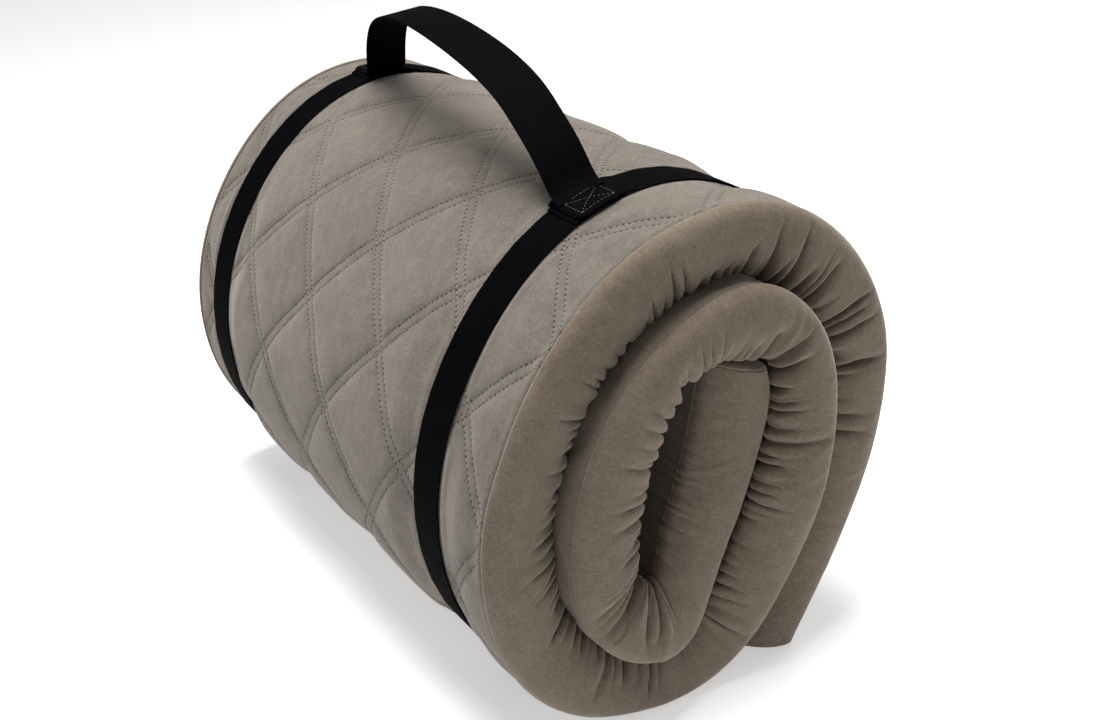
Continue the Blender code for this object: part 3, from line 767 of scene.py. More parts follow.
def outer_quilt():
    step = 2.5
    inset = HALF - EDGE[-1]
    y = np.concatenate([-HALF + EDGE, spaced(-inset + step, inset - step, step),
                        (HALF - EDGE)[::-1]])
    along = np.concatenate([[0, 0.8, 1.8, 3.0, 4.6, 6.6], spaced(9.0, QUILT_SPLIT, step)])
    fit(*quilt_panel("quilted_panel_outer_turn", along, y, VELOUR),
        "mattress", "quilt_velour", "quilt_face", "quilt_wadding")


def inner_quilt():
    """Coarser, and held down so that it keeps clear of the turn outside it."""
    y = np.concatenate([-HALF + EDGE, spaced(-287, -240, 3.5), spaced(-225, 225, 18.0),
                        spaced(240, 287, 3.5), (HALF - EDGE)[::-1]])
    along = spaced(QUILT_SPLIT, LENGTH, 4.0)
    fit(*quilt_panel("quilted_panel_inner_turns", along, y, VELOUR_INNER_PAINTED_SHADE, highest=0.9),
        "mattress", "quilt_velour")


outer_quilt()
inner_quilt()

# ------------------------------------------------------------------ side walls of the cover
# the wall's bulge: depth from the quilt's seam (0) to the inner edge (1), share of the slab's
# thickness reached, and how far it stands out of the slab's side
PROFILE = np.array([
    (0.0, 0.014, 0.0), (0.05, 0.026, 3.0), (0.12, 0.064, 6.4), (0.22, 0.152, 9.8),
    (0.36, 0.31, 11.9), (0.52, 0.49, 11.8), (0.67, 0.66, 9.6), (0.80, 0.835, 4.6),
    (0.89, 0.94, -0.2), (0.95, 1.002, -4.8), (1.0, 1.015, -12.0)])
profile_at = spline(PROFILE[:, 0], PROFILE[:, 1:])
WALL_DEPTHS = np.concatenate([[0, 0.012, 0.026, 0.045, 0.07], np.linspace(0.10, 1.0, 30)])


def along_from_seam(step):
    return np.concatenate([[0, 1.0, 2.2, 3.6, 5.4], spaced(7.5, LENGTH, step)])


WALL_ALONG = along_from_seam(1.5)

FOLD_PITCH = 10.6       # of inner edge to each fold
# folds counted from the outer end; they lie closer where the inner edge is shorter
_rate = (1 - EXCESS) / FOLD_PITCH
FOLD_COUNT = np.r_[0, np.cumsum((_rate[1:] + _rate[:-1]) / 2 * np.diff(ALONG))]
FOLD_KINDS = 4001       # folds that differ before they repeat
# creases in the tightest bend: distance back from the inner end, depth, width, the wall depth
# where it starts, and how far it curls
CREASES = ((326.0, 6.0, 5.0, 0.30, 20.0), (294.0, 9.0, 6.2, 0.12, 36.0),
           (257.0, 7.5, 4.8, 0.22, -20.0))


def end_fade(along):
    return ramp(along, 0.0, 8.0) * ramp(LENGTH - along, 0.0, 8.0)


def gathers(along, depth, side):
    """Height of the folds over a wall's plain curve; side is 0 for the front, 1 for the rear.

    Folds are sharp valleys run in from the inner edge with round swells between them.  Each
    has its own depth, width and reach; they are deeper where the slab bends harder."""
    still = 0 * along
    excess = np.interp(along, ALONG, EXCESS)
    # folds slant and waver
    wave = 5.5 * noise(along / 47.0, still + side * 3.3, 51 + side)
    slanted = (along + wave * (1 - depth) * 2.0
               + 1.3 * noise(along / 10.0, depth * 2.4, 52 + side))

    def count_at(rate, stray, cell, row, seed):
        """Folds counted at a rate, each astray by a share of its pitch."""
        return (np.interp(slanted, ALONG, FOLD_COUNT) * rate
                + stray * noise(slanted / cell, still + row, seed + side))

    def nearest(count, pitch):
        """Which fold is nearest, and how far away."""
        return (np.round(count).astype(int) % FOLD_KINDS,
                np.abs(count - np.round(count)) * pitch)

    random = np.random.RandomState(700 + side)
    depths = random.rand(FOLD_KINDS)**1.3
    reaches, widths = random.rand(FOLD_KINDS), random.rand(FOLD_KINDS)
    # need is how much cloth there is to lose; it varies a little round the roll
    turned = np.radians(np.interp(along, ALONG, TURNED) - 30.0)
    need = np.clip(excess - 0.05, 0, 0.27) / 0.27 * (0.86 + 0.28 * np.cos(turned))
    tight = ramp(excess, 0.44, 0.56) * (1 - ramp(along, LENGTH - 270.0, LENGTH - 225.0))
    # the inmost end lies straight and its wall is pulled smooth
    need = need * (1 - 0.86 * ramp(along, LENGTH - 262.0, LENGTH - 212.0))

    def valley(which, offset):
        """One valley's depth here, and the wall depth where it starts.  In a tight bend only
        every third valley stays deep."""
        which = which % FOLD_KINDS
        deep = ((0.35 + 9.6 * need) * (0.22 + 1.0 * depths[which])
                * (1 + tight * np.where(which % 3 == 0, 0.1, -0.85)))
        wide = (1.15 + 1.8 * widths[which]) * (1 + 1.5 * tight) * (1.45 - 0.45 * depth)
        start = (0.80 - (0.16 + 0.60 * np.clip(need * 1.3, 0, 1)) * reaches[which]**1.2
                 - 0.26 * tight)
        shape = np.exp(-np.abs(offset) / wide)
        return deep * shape * ramp(depth, start, np.minimum(start + 0.42, 1.0)), start

    # main valleys, and the swells between them
    count = count_at(rate=1.0, stray=0.55, cell=19.0, row=side * 5.1, seed=53)
    cell = np.floor(count).astype(int)
    offset = (count - cell) * FOLD_PITCH
    before, start_before = valley(cell, offset)
    after, start_after = valley(cell + 1, FOLD_PITCH - offset)
    swells = (np.sin(np.pi * offset / FOLD_PITCH)**1.3 * (0.25 + 3.2 * need)
              * ramp(depth, (start_before + start_after) / 2 + 0.06, 0.95))
    height = -before - after + swells
    # a finer set between them, reaching half way over the wall
    which, offset = nearest(
        count_at(rate=1.62, stray=0.7, cell=14.0, row=6.1, seed=58), pitch=7.7)
    height = height - ((0.25 + 2.3 * need) * (1 - 0.7 * tight) * widths[which]**1.6
                       * np.exp(-offset / 1.5) * ramp(depth, 0.30 + 0.50 * depths[which], 1.0))
    # small puckers close to the inner edge
    which, offset = nearest(
        count_at(rate=2.3, stray=0.8, cell=9.0, row=2.7, seed=57), pitch=5.4)
    height = height - ((0.15 + 1.0 * need) * depths[which] * np.exp(-offset / 1.1)
                       * ramp(depth, 0.62 + 0.25 * reaches[which], 0.98))
    # drags: long shallow folds slanting over the wall, in patches
    patch = ramp(noise(along / 85.0, depth * 0.7, 91 + side), -0.25, 0.55)
    slant = 26.0 + 8.0 * noise(along / 70.0, 0 * depth, 96)
    drag = np.abs(noise((along + slant * depth) / 12.0, depth * 1.1, 81 + side))
    height = height + ((1.35 * patch * (0.35 - drag)) * ramp(depth, 0.08, 0.45)
                       * (0.5 + 0.9 * need))
    # a few big creases that curl towards the inner edge, each with a ridge beside it
    for back, deep, wide, start, curl in CREASES:
        offset = along - (LENGTH - back) - curl * (1 - depth)**1.5 - 4.0 * side
        ridge = 0.45 * hill(offset - wide * 2.1, wide * 1.2)
        crease = np.exp(-(np.abs(offset) / wide)**1.3)
        height = height + deep * (ridge - crease) * ramp(depth, start, start + 0.45)
    # slack in the cloth
    slack = 0.75 * fbm(along / 34.0 + depth * 0.8, depth * 1.6, 71 + side)
    return height + slack * ramp(depth, 0.03, 0.3)


def wall_curve(side):
    """A wall's plain bulged surface and its outward normals."""
    outward = (-1, 1)[side]
    share, bulge = profile_at(WALL_DEPTHS).T
    outer, inner = outer_at(WALL_ALONG), inner_at(WALL_ALONG)
    outer = outer - unit(inner - outer) * swell(WALL_ALONG, outward * HALF)[:, None]
    share = share[None, :, None]
    points = in_space(outer[:, None] * (1 - share) + inner[:, None] * share,
                      outward * (HALF + bulge) + shift_at(WALL_ALONG)[:, None])
    normals = unit(np.cross(np.gradient(points, axis=0), np.gradient(points, axis=1)))
    if (normals[..., 1] * outward).mean() < 0:
        normals = -normals
    return points, normals


def side_wall(label, side):
    points, normals = wall_curve(side)
    along, depth = np.meshgrid(WALL_ALONG, WALL_DEPTHS, indexing="ij")
    height = gathers(along, depth, side) * ramp(depth, 0.0, 0.06) - 1.1 * hill(depth, 0.012)
    points = on_floor(points + normals * (height * end_fade(along))[..., None])
    cloth_width = 62.0
    ob = grid("side_wall_" + label, points, np.stack([along, depth * cloth_width], -1),
              flip=(side == 0))
    solidify(ob, 1.0)
    fit(ob, BORDER, "mattress", "border_fabric", "border_" + label)
    return points


FRONT_WALL = side_wall("front", 0)
REAR_WALL = side_wall("rear", 1)


# ------------------------------------------------------------------ plain face, inside the turns
def underside():
    along = along_from_seam(3.0)
    half = HALF - 12.0
    depth = np.array([0, 1.5, 3.5, 6, 9, 12.5, 17, 22, 28, 35, 44, 55])
    y = np.concatenate([-half + depth, spaced(-half + 72, half - 72, 22.0),
                        (half - depth)[::-1]])
    inner = inner_at(along)
    inward = unit(inner - outer_at(along))
    along_grid, y_grid = np.meshgrid(along, y, indexing="ij")
    edge = half - np.abs(y_grid)
    inner_edge = 1.0 + 0 * along_grid
    # the walls' folds run on a little way, then slack in the cloth takes over
    folds = np.where(y_grid < 0, gathers(along_grid, inner_edge, 0),
                     gathers(along_grid, inner_edge, 1))
    slack = 0.5 * fbm(along_grid / 45.0, y_grid / 60.0, seed=91)
    height = folds * (1 - ramp(edge, 4.0, 46.0)) + slack * ramp(edge, 0.0, 30.0)
    height = height * end_fade(along_grid)
    points = on_floor(in_space(inner[:, None] + inward[:, None] * height[..., None],
                               y_grid + shift_at(along)[:, None]))
    # sewn to the two walls along their last row
    points[:, 0] = interp_points(along, WALL_ALONG, FRONT_WALL[:, -1])
    points[:, -1] = interp_points(along, WALL_ALONG, REAR_WALL[:, -1])
    ob = grid("underside_panel", points, np.stack([along_grid, y_grid], -1))
    solidify(ob, 0.9)
    fit(ob, UNDERSIDE, "mattress", "stretch_fabric", "plain_face")


underside()


# ------------------------------------------------------------------ the slab's two ends
def end_cap(name, at_outer_end, bulge, thickness, *nodes):
    """Puffed wall over one end of the slab; a negative bulge sinks it."""
    here, row, before = (0.0, 0, 3.0) if at_outer_end else (LENGTH, -1, LENGTH - 3.0)
    outer, inner = outer_at([here])[0], inner_at([here])[0]
    shift = float(shift_at(here))
    # closed loop round the end: quilt edge, front wall, plain edge, rear wall
    quilt_edge = in_space(outer + unit(inner - outer) * 1.4,
                          spaced(HALF, -HALF, 9.0)[1:-1] + shift)
    plain_edge = in_space(inner, spaced(-286.0, 286.0, 9.0) + shift)
    loop = np.concatenate([quilt_edge, FRONT_WALL[row][::2], plain_edge,
                           REAR_WALL[row][::-2]])
    half = HALF - 24.0
    middle = in_space((outer + inner) / 2, np.clip(loop[:, 1] - shift, -half, half) + shift)
    inside, end = outer_at([before, here])
    away = in_space(unit(end - inside), 0.0)
    steps = 10
    rings = []
    for k in range(steps + 1):
        angle = (math.pi / 2) * k / steps
        # the last ring keeps a small size of its own
        ring = middle + (loop - middle) * (math.cos(angle) * 0.97 + 0.03)
        uneven = 1 + 0.10 * noise(loop[:, 1] / 23.0, np.full(len(loop), k * 0.35), seed=95)
        rings.append(on_floor(ring + away * (bulge * math.sin(angle) * uneven)[:, None]))
    rings = np.array(rings)
    ob = mesh_from(name, rings, grid_quads(*rings.shape[:2], wrap=True), rings[..., 1:])
    bm = bmesh.new()
    bm.from_mesh(ob.data)
    bmesh.ops.remove_doubles(bm, verts=bm.verts, dist=0.00002)
    bm.to_mesh(ob.data)
    bm.free()
    solidify(ob, thickness, offset=1.0)
    fit(ob, BORDER, "mattress", "border_fabric", *nodes)


end_cap("end_wall_inner", False, 9.0, 1.0, "border_inner_end")
end_cap("zip_underlap", True, -3.2, 0.6)


def end_strip(side, start, end):
    """Strip of the outer end's wall between two depths from the quilted edge: the first at
    its seam, the second folded beside the zip."""
    toward = (INNER[0] - OUTER[0]) / END_THICK
    outward = right_of(toward)
    if outward @ (OUTER[4] - OUTER[0]) > 0:
        outward = -outward
    share = np.linspace(0, 1, 15)
    depth = start + (end - start) * share
    rise = -0.9 + 1.6 * np.sin(np.pi * np.clip(share * 1.02, 0, 1))**0.7 - 0.4 * share
    profile = profile_at(WALL_DEPTHS)
    half = HALF + np.interp(depth / END_THICK, profile[:, 0], profile[:, 1])
    span = np.concatenate([-1 + 0.02 * np.linspace(0, 1, 7), np.linspace(-0.97, 0.97, 120),
                           1 - 0.02 * np.linspace(1, 0, 7)])
    y = span[:, None] * (half - 0.5)
    uneven = 0.25 * noise(y / 14.0, 0 * y + np.arange(len(share)) * 0.2, seed=97)
    # both short ends are drawn down
    inside = ramp(half - np.abs(y), 0, 8)
    height = (rise + uneven) * inside - 0.8 * (1 - inside)
    points = on_floor(in_space(OUTER[0] + toward * depth[:, None]
                               + outward * height[..., None], y))
    ob = grid("end_wall_outer_" + side, points,
              np.stack(np.broadcast_arrays(y, depth[None, :]), -1))
    solidify(ob, 1.2, offset=0.0)
    fit(ob, BORDER, "mattress", "border_fabric", "border_outer_end_" + side)


END_THICK = float(np.hypot(*(INNER[0] - OUTER[0])))
ZIP_DEPTH = END_THICK / 2 + 3.475   # the zip's middle, from the quilted edge
ZIP_GAP = 5.55                      # from there to each strip
end_strip("quilt_side", 1.4, ZIP_DEPTH - ZIP_GAP)
end_strip("plain_side", END_THICK - 1.0, ZIP_DEPTH + ZIP_GAP)


# ------------------------------------------------------------------ foam layers
def foam(name, node, start, end, material):
    """Chamfered slab between two shares of the foam's depth, clear of the rounded cover."""
    along = spaced(6.0, LENGTH - 8.0, 12.0)
    outer, inner = outer_at(along), inner_at(along)
    thick = np.hypot(*(inner - outer).T)
    first, last = 9.0, thick - 5.0      # depths of the foam's own faces
    low, high = first + (last - first) * start, first + (last - first) * end
    chamfer, flat_y, side_y = 3, 277, 284
    depth = np.stack([low, low + chamfer, high - chamfer, high,
                      high, high - chamfer, low + chamfer, low], -1)
    y = np.array([-flat_y, -side_y, -side_y, -flat_y, flat_y, side_y, side_y, flat_y])
    rings = in_space(outer[:, None] + unit(inner - outer)[:, None] * depth[..., None],
                     y + shift_at(along)[:, None])
    fit(tube(name, rings, rings[..., :2]), material, "mattress", node, node)


foam("visco_layer", "visco_foam", 0.0, 0.492, VISCO)
foam("base_layer", "base_foam", 0.508, 1.0, BASE)


# ------------------------------------------------------------------ straps
def strap_path():
    """Corners of the roll's hull with offsets for a band laid round them; a sharp corner is
    given five times, with its offset turned in steps."""
    corners = hull(OUTER[STATIONS])
    edge_after = unit(np.roll(corners, -1, axis=0) - corners)
    edge_before = np.roll(edge_after, 1, axis=0)
    path, offsets = [], []
    for corner, before, after in zip(corners, edge_before, edge_after):
        bend = math.acos(max(-1.0, min(1.0, float(before @ after))))
        sharp = bend >= math.radians(24)
        for share in ((0.0, 0.25, 0.5, 0.75, 1.0) if sharp else (0.5,)):
            tangent = unit(before * (1 - share) + after * share)
            path.append(corner)
            offsets.append(right_of(tangent) / (1.0 if sharp else math.cos(bend / 2)))
    return np.array(path), np.array(offsets)


PATH, OFFSETS = strap_path()


def nearest_on_path(point):
    """Index of the nearest side of the path, the share along it, and the place."""
    found = []
    for k in range(len(PATH)):
        start, end = PATH[k], PATH[(k + 1) % len(PATH)]
        side = end - start
        if np.hypot(*side) < 1e-6:
            continue
        share = float(np.clip((point - start) @ side / (side @ side), 0, 1))
        place = start + share * side
        found.append((np.hypot(*(point - place)), k, share, place))
    return min(found, key=lambda entry: entry[0])[1:]


class StrapLoop:
    """Closed smooth loop that a strap's underside follows, started at its foot."""

    def __init__(self, foot, y):
        self.y = y
        side, share, place = nearest_on_path(turn(np.array(foot), LEAN) + [0, AXIS_H])
        count = len(PATH)
        order = [(side + 1 + j) % count for j in range(count)]
        normal = unit(OFFSETS[side] * (1 - share) + OFFSETS[(side + 1) % count] * share)
        start = place + normal * STRAP_CLEAR
        corners = np.array([start] + [PATH[j] + OFFSETS[j] * STRAP_CLEAR for j in order]
                           + [start])
        run = lengths(corners)
        fine = interp_points(np.arange(0, run[-1], 1.0), run, corners)
        # round the hull's corners
        kernel = np.hanning(19)[1:-1]
        kernel /= kernel.sum()
        pad = len(kernel) // 2
        padded = np.concatenate([fine[-pad:], fine, fine[:pad]])
        points = np.stack([np.convolve(padded[:, j], kernel, "valid") for j in (0, 1)], 1)
        tangent = unit(np.roll(points, -1, axis=0) - np.roll(points, 1, axis=0))
        normals = right_of(tangent)
        self.bend = 1 - (np.roll(tangent, 3, axis=0) * np.roll(tangent, -3, axis=0)).sum(1)
        self.points = np.vstack([points, points[:1]])
        self.normals = np.vstack([normals, normals[:1]])
        self.run = lengths(self.points)
        self.length = self.run[-1]

    def at(self, distance):
        """Section points and outward normals, at distances round from the foot."""
        wrapped = np.mod(distance, self.length)
        return (interp_points(wrapped, self.run, self.points),
                unit(interp_points(wrapped, self.run, self.normals)))

    def over(self, distance, y, up):
        """3-D points: distance from the foot, y from the strap's middle, height."""
        points, normals = self.at(np.atleast_1d(distance))
        up = np.broadcast_to(up, len(points))[:, None]
        return in_space(points + normals * up, self.y + y)


def band_outline(width, thick, ribs, count, rib_depth):
    """Closed (across, up) outline of a webbing, ribbed on top, with rounded selvedges."""
    across = np.linspace(-1, 1, count)
    edge = 0.5          # how far the selvedge drops
    top = [(width / 2 * a, thick - edge * max(0, abs(a) - 0.94) / 0.06
            - rib_depth * (0.5 + 0.5 * math.cos(2 * math.pi * ribs * (a + 1) / 2))
            * (1 - max(0, abs(a) - 0.92) / 0.08)) for a in across]
    bottom = [(width / 2 * a, 0.05 + (edge * 0.6) * max(0, abs(a) - 0.94) / 0.06)
              for a in across[::-4]]
    return np.array(top + bottom)


def cloth_uv(along, across):
    return np.stack(np.broadcast_arrays(along[:, None], across[None, :] + 100.0), -1)


def band(name, centre, normal, across, outline, along):
    """Sweep an (across, up) outline along a centre line."""
    points = (centre[:, None, :] + across[:, None, :] * outline[None, :, 0, None]
              + normal[:, None, :] * outline[None, :, 1, None])
    return tube(name, points, cloth_uv(along, outline[:, 0]), sharp_degrees=50)


OVERLAP_LIFT = STRAP_T + 0.3    # a strap's upper end over its lower one
TAB_UNDER = OVERLAP_LIFT + STRAP_T + 0.3    # underside of the handle's sewn ends


def strap_distances(loop):
    """Once round from half a lap before the foot to half a lap after it, closer where the
    strap bends or overlaps."""
    count, half = len(loop.bend), STRAP_LAP / 2
    distances = []
    position = -half
    while position < loop.length + half:
        k = int(round(position)) % count
        distances.append(position)
        low, high = (k - 4) % count, (k + 5) % count
        bend = loop.bend[low:high].max() if low < high else loop.bend[k]
        close = (bend > 0.02 or position > loop.length - half - STRAP_RISE - 2
                 or position < half + 2)
        position += 1.0 if close else 4.0
    return np.array(distances + [loop.length + half])


STRAP_RISE = 14.0       # length over which a strap climbs onto its own end


def strap(label, loop, wander_row):
    distance = strap_distances(loop)
    lap_start, lap_end = loop.length - STRAP_LAP / 2, loop.length + STRAP_LAP / 2
    points, normals = loop.at(distance)
    lift = (OVERLAP_LIFT * ramp(distance, lap_start - STRAP_RISE, lap_start)
            - 0.9 * ramp(distance, lap_end - 5.0, lap_end))
    normal = in_space(normals, 0.0)
    centre = in_space(points, loop.y) + normal * lift[:, None]
    # a strap never lies dead straight: it wanders a little, except near its foot
    half = loop.length / 2
    from_foot = np.abs(((distance + half) % loop.length) - half)
    centre[:, 1] += (0.9 * noise(distance / 130.0, np.full(len(distance), wander_row), seed=33)
                     * ramp(from_foot, 30, 120))
    across = np.tile([0.0, 1.0, 0.0], (len(distance), 1))
    outline = band_outline(STRAP_W, STRAP_T - 0.1, ribs=14, count=64, rib_depth=0.16)
    ob = band("elastic_strap_" + label, centre, normal, across, outline, distance)
    fit(ob, STRAP, "harness", "strap_elastic", "strap_" + label)


LOOPS = {label: StrapLoop(foot, y) for (label, foot), y in zip(FEET.items(), STRAP_Y)}
strap("front", LOOPS["front"], wander_row=3.0)
strap("rear", LOOPS["rear"], wander_row=8.0)


# ------------------------------------------------------------------ carrying handle
def sewn_end(label, loop):
    """The handle's end, flat on the strap, pulled down along its edges by the stitching."""
    half, corner, edge_width = HANDLE_W / 2, 8.0, 1.6
    across = spaced(-half, half, 1.2)
    tab_y = spaced(-TAB_L / 2, TAB_L / 2, 1.0)
    count = len(across)
    rib = 0.16 * (0.5 + 0.5 * np.cos(2 * math.pi * 12 * (across + half) / HANDLE_W))
    selvedge = 0.5 * np.clip((np.abs(across) - half + 1.2) / 1.2, 0, 1)
    points = np.empty((len(tab_y), 2 * count, 3))
    for i, y in enumerate(tab_y):
        edge = min(1.0, (TAB_L / 2 - abs(y)) / edge_width)
        thick = HANDLE_T * (0.55 + 0.45 * math.sqrt(max(0.0, 1 - (1 - edge)**2)))
        uneven = 0.25 * noise(across / 9.0, np.full(count, y / 9.0), seed=35)
        # the cut end, away from the handle's arch, has rounded corners
        from_cut = TAB_L / 2 - (y if label == "rear" else -y)
        wide = 1.0
        if from_cut <= corner:
            drop = math.sqrt(max(0.0, corner**2 - (corner - from_cut)**2))
            wide = 1 - (corner - drop) / half
        x = across * wide
        from_edge = np.minimum(half * wide - np.abs(x), from_cut)
        press = 1 - ramp(from_edge, 0.0, 5.0)
        top = TAB_UNDER + thick - rib - selvedge + uneven - press
        points[i, :count] = loop.over(x, y, top)
        points[i, count:] = loop.over(x[::-1], y, TAB_UNDER + 0.05 - press[::-1])
    uv = cloth_uv(tab_y, np.concatenate([across, across[::-1]]))
    ob = tube("handle_sewn_end_" + label, points, uv, sharp_degrees=50)
    fit(ob, HANDLE, "harness", "handle_webbing", "handle_end_" + label)


def foot_direction(loop, ribbon):
    """The strap's direction at its foot, pointed the same way as the handle's width."""
    ahead, behind = (loop.over([d], 0, 5.0)[0] for d in (8.0, -8.0))
    direction = unit(ahead - behind)
    return direction if direction @ ribbon > 0 else -direction


def handle():
    """Webbing of full width all the way, turned flat onto its sewn ends."""
    foot_a, foot_b = (LOOPS[label].over([0.0], 0.0, TAB_UNDER + HANDLE_T + 0.4)[0]
                      for label in ("front", "rear"))
    span = float(np.linalg.norm(foot_b - foot_a))
    line = unit(foot_b - foot_a)
    side = unit(np.cross(line, np.array([0.0, 0.0, 1.0])))
    up = np.cross(side, line)
    ribbon = side * math.cos(HANDLE_LEAN) - up * math.sin(HANDLE_LEAN)
    rise = np.cross(ribbon, line)

    middle = np.array(HANDLE_ARCH, float)
    middle[:, 0] *= span / ARCH_SPAN
    low = -1.5          # the webbing's middle where it lies on a sewn end
    arch = np.concatenate([
        [(4.0, -1.45), (11.0, -1.2), (18.5, 3.2), (26.5, 13.0), (38.0, 27.0)], middle,
        [(span - 39.0, 30.0), (span - 26.0, 13.6), (span - 18.0, 3.4), (span - 11.0, -1.2),
         (span - 4.0, -1.45)]])
    chords = lengths(arch)
    length = chords[-1]
    along = np.linspace(0, length, 260)
    curve = spline(chords, arch)(along)
    curve[:, 1] = np.maximum(curve[:, 1], low)
    centre = foot_a + line * curve[:, :1] + rise * curve[:, 1:]
    # a little life: the webbing bows sideways and twists along its length
    share = along / length
    bow = 2.2 * np.sin(np.pi * share)**2 * np.sin(2 * np.pi * share)
    centre = centre + ribbon * bow[:, None]
    tangent = unit(np.gradient(centre, axis=0))
    twist = np.radians(5.0) * np.sin(2 * np.pi * share) * np.sin(np.pi * share)

    at_front = (1 - ramp(along, 10, 70))[:, None]
    at_rear = ramp(along, length - 70, length - 10)[:, None]
    across = unit(ribbon * (1 - at_front - at_rear)
                  + foot_direction(LOOPS["front"], ribbon) * at_front
                  + foot_direction(LOOPS["rear"], ribbon) * at_rear)
    across = unit(across - (across * tangent).sum(1, keepdims=True) * tangent)
    normal = np.cross(across, tangent)
    across = across * np.cos(twist)[:, None] + normal * np.sin(twist)[:, None]
    normal = unit(np.cross(across, tangent))
    # the outer face carries the ribs
    if (normal @ rise).mean() < 0:
        normal, across = -normal, -across
    outline = band_outline(HANDLE_W, HANDLE_T, ribs=12, count=56, rib_depth=0.18)
    outline[:, 1] -= HANDLE_T / 2
    ob = band("carrying_handle", centre, normal, across, outline, along)
    ob.data.materials.append(HANDLE)
    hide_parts("handle")
    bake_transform(ob)


for label, loop in LOOPS.items():
    sewn_end(label, loop)
handle()

# ------------------------------------------------------------------ thread
# a strand's rings: share of its length, share of its radius, height in units of its sag
STRAND = [(0.0, 0.25, -1.0), (0.22, 0.9, -0.1), (0.5, 1.0, 0.25), (0.78, 0.9, -0.1),
          (1.0, 0.25, -1.0)]


def strands(name, starts, ends, normals, radius, flat, sag=0.0):
    """Short lens-shaped strands of six-sided rings, pulled down at both ends by sag."""
    starts, ends = np.asarray(starts), np.asarray(ends)
    direction = unit(ends - starts)
    side = unit(np.cross(direction, normals))
    up = np.cross(side, direction)
    length = np.linalg.norm(ends - starts, axis=1)[:, None]
    angles = [2 * math.pi * j / 6 for j in range(6)]
    rings = []
    for share, size, height in STRAND:
        middle = starts + direction * length * share + up * (height * sag)
        rings.append(np.stack([middle + side * (math.cos(angle) * size * radius)
                               + up * (math.sin(angle) * size * radius * flat)
                               for angle in angles], 1))
    points = np.stack(rings, 1)
    index = np.arange(points[..., 0].size).reshape(points.shape[:3])
    after = np.roll(index, -1, axis=2)
    walls = np.stack([index[:, :-1], index[:, 1:], after[:, 1:], after[:, :-1]], -1)
    first, last = index[:, 0], index[:, -1]
    caps = [first[:, (0, 1, 2, 3)], first[:, (0, 3, 4, 5)],
            last[:, (3, 2, 1, 0)], last[:, (5, 4, 3, 0)]]
    return mesh_from(name, points, np.concatenate([walls.reshape(-1, 4)] + caps))


def quilt_surface(along, y):
    """Points and normals on the quilted face."""
    normal = right_of(unit(outer_at(along + 0.5) - outer_at(along - 0.5)))
    height = quilt_height(along, y)[:, None]
    points = on_floor(in_space(outer_at(along) + normal * height, y + shift_at(along)), 0.9)
    return points, in_space(normal, 0.0)


def on_seam(family, seam, run):
    """Place on a seam of family 0 or 1, at distances run in the quilt's units."""
    other, seam = run / 100.0, seam + 0 * run
    a, b = (seam, other) if family == 0 else (other, seam)
    return np.stack([QUILT_START + QUILT_ALONG * (a + b) / 2,
                     QUILT_Y + QUILT_ACROSS * (a - b) / 2])


def quilting_stitches():
    run = np.arange(-4000, 4000, PITCH)
    gap = 0.55          # half of the gap between two stitches
    starts, ends = [], []
    for family in (0, 1):
        for seam in range(-40, 41):
            for row in (-1, 1):
                place = seam + row * ROW / 100.0
                starts.append(on_seam(family, place, run + gap))
                ends.append(on_seam(family, place, run + PITCH - gap))
    starts, ends = np.concatenate(starts, 1), np.concatenate(ends, 1)
    along, y = (starts + ends) / 2
    kept = (along > 4) & (along < QUILT_SPLIT - 4) & (np.abs(y) < 297.5)
    for strap_y in STRAP_Y:
        kept &= np.abs(y - strap_y) > 21.0
    first, first_up = quilt_surface(*starts[:, kept])
    last, last_up = quilt_surface(*ends[:, kept])
    raised = 0.18
    ob = strands("quilting_stitches", first + first_up * raised, last + last_up * raised,
                 unit(first_up + last_up), radius=0.36, flat=0.6, sag=0.25)
    fit(ob, THREAD, "mattress", "quilt_velour")


def box_stitch(label, loop, material):
    """Box and cross on a sewn end, nearer the cut end."""
    half_x, half_y = 14.5, 12.0
    middle_y = -6.5 if label == "front" else 6.5
    corners = [(-half_x, -half_y + middle_y), (half_x, -half_y + middle_y),
               (half_x, half_y + middle_y), (-half_x, half_y + middle_y)]
    legs = [(corners[k], corners[(k + 1) % 4]) for k in range(4)]
    legs += [(corners[0], corners[2]), (corners[1], corners[3])]
    up = TAB_UNDER + HANDLE_T + 0.12
    starts, ends, normals = [], [], []
    for (x0, y0), (x1, y1) in legs:
        def place(share, height):
            return loop.over([x0 + (x1 - x0) * share], y0 + (y1 - y0) * share, height)[0]

        count = max(3, int(round(math.hypot(x1 - x0, y1 - y0) / 3.4)))
        for k in range(count):
            start = place((k + 0.1) / count, up)
            starts.append(start)
            ends.append(place((k + 0.9) / count, up))
            normals.append(unit(place((k + 0.1) / count, up + 1.0) - start))
    ob = strands("box_stitch_" + label, starts, ends, normals, radius=0.21, flat=0.7, sag=0.2)
    fit(ob, material, "harness", "handle_webbing")


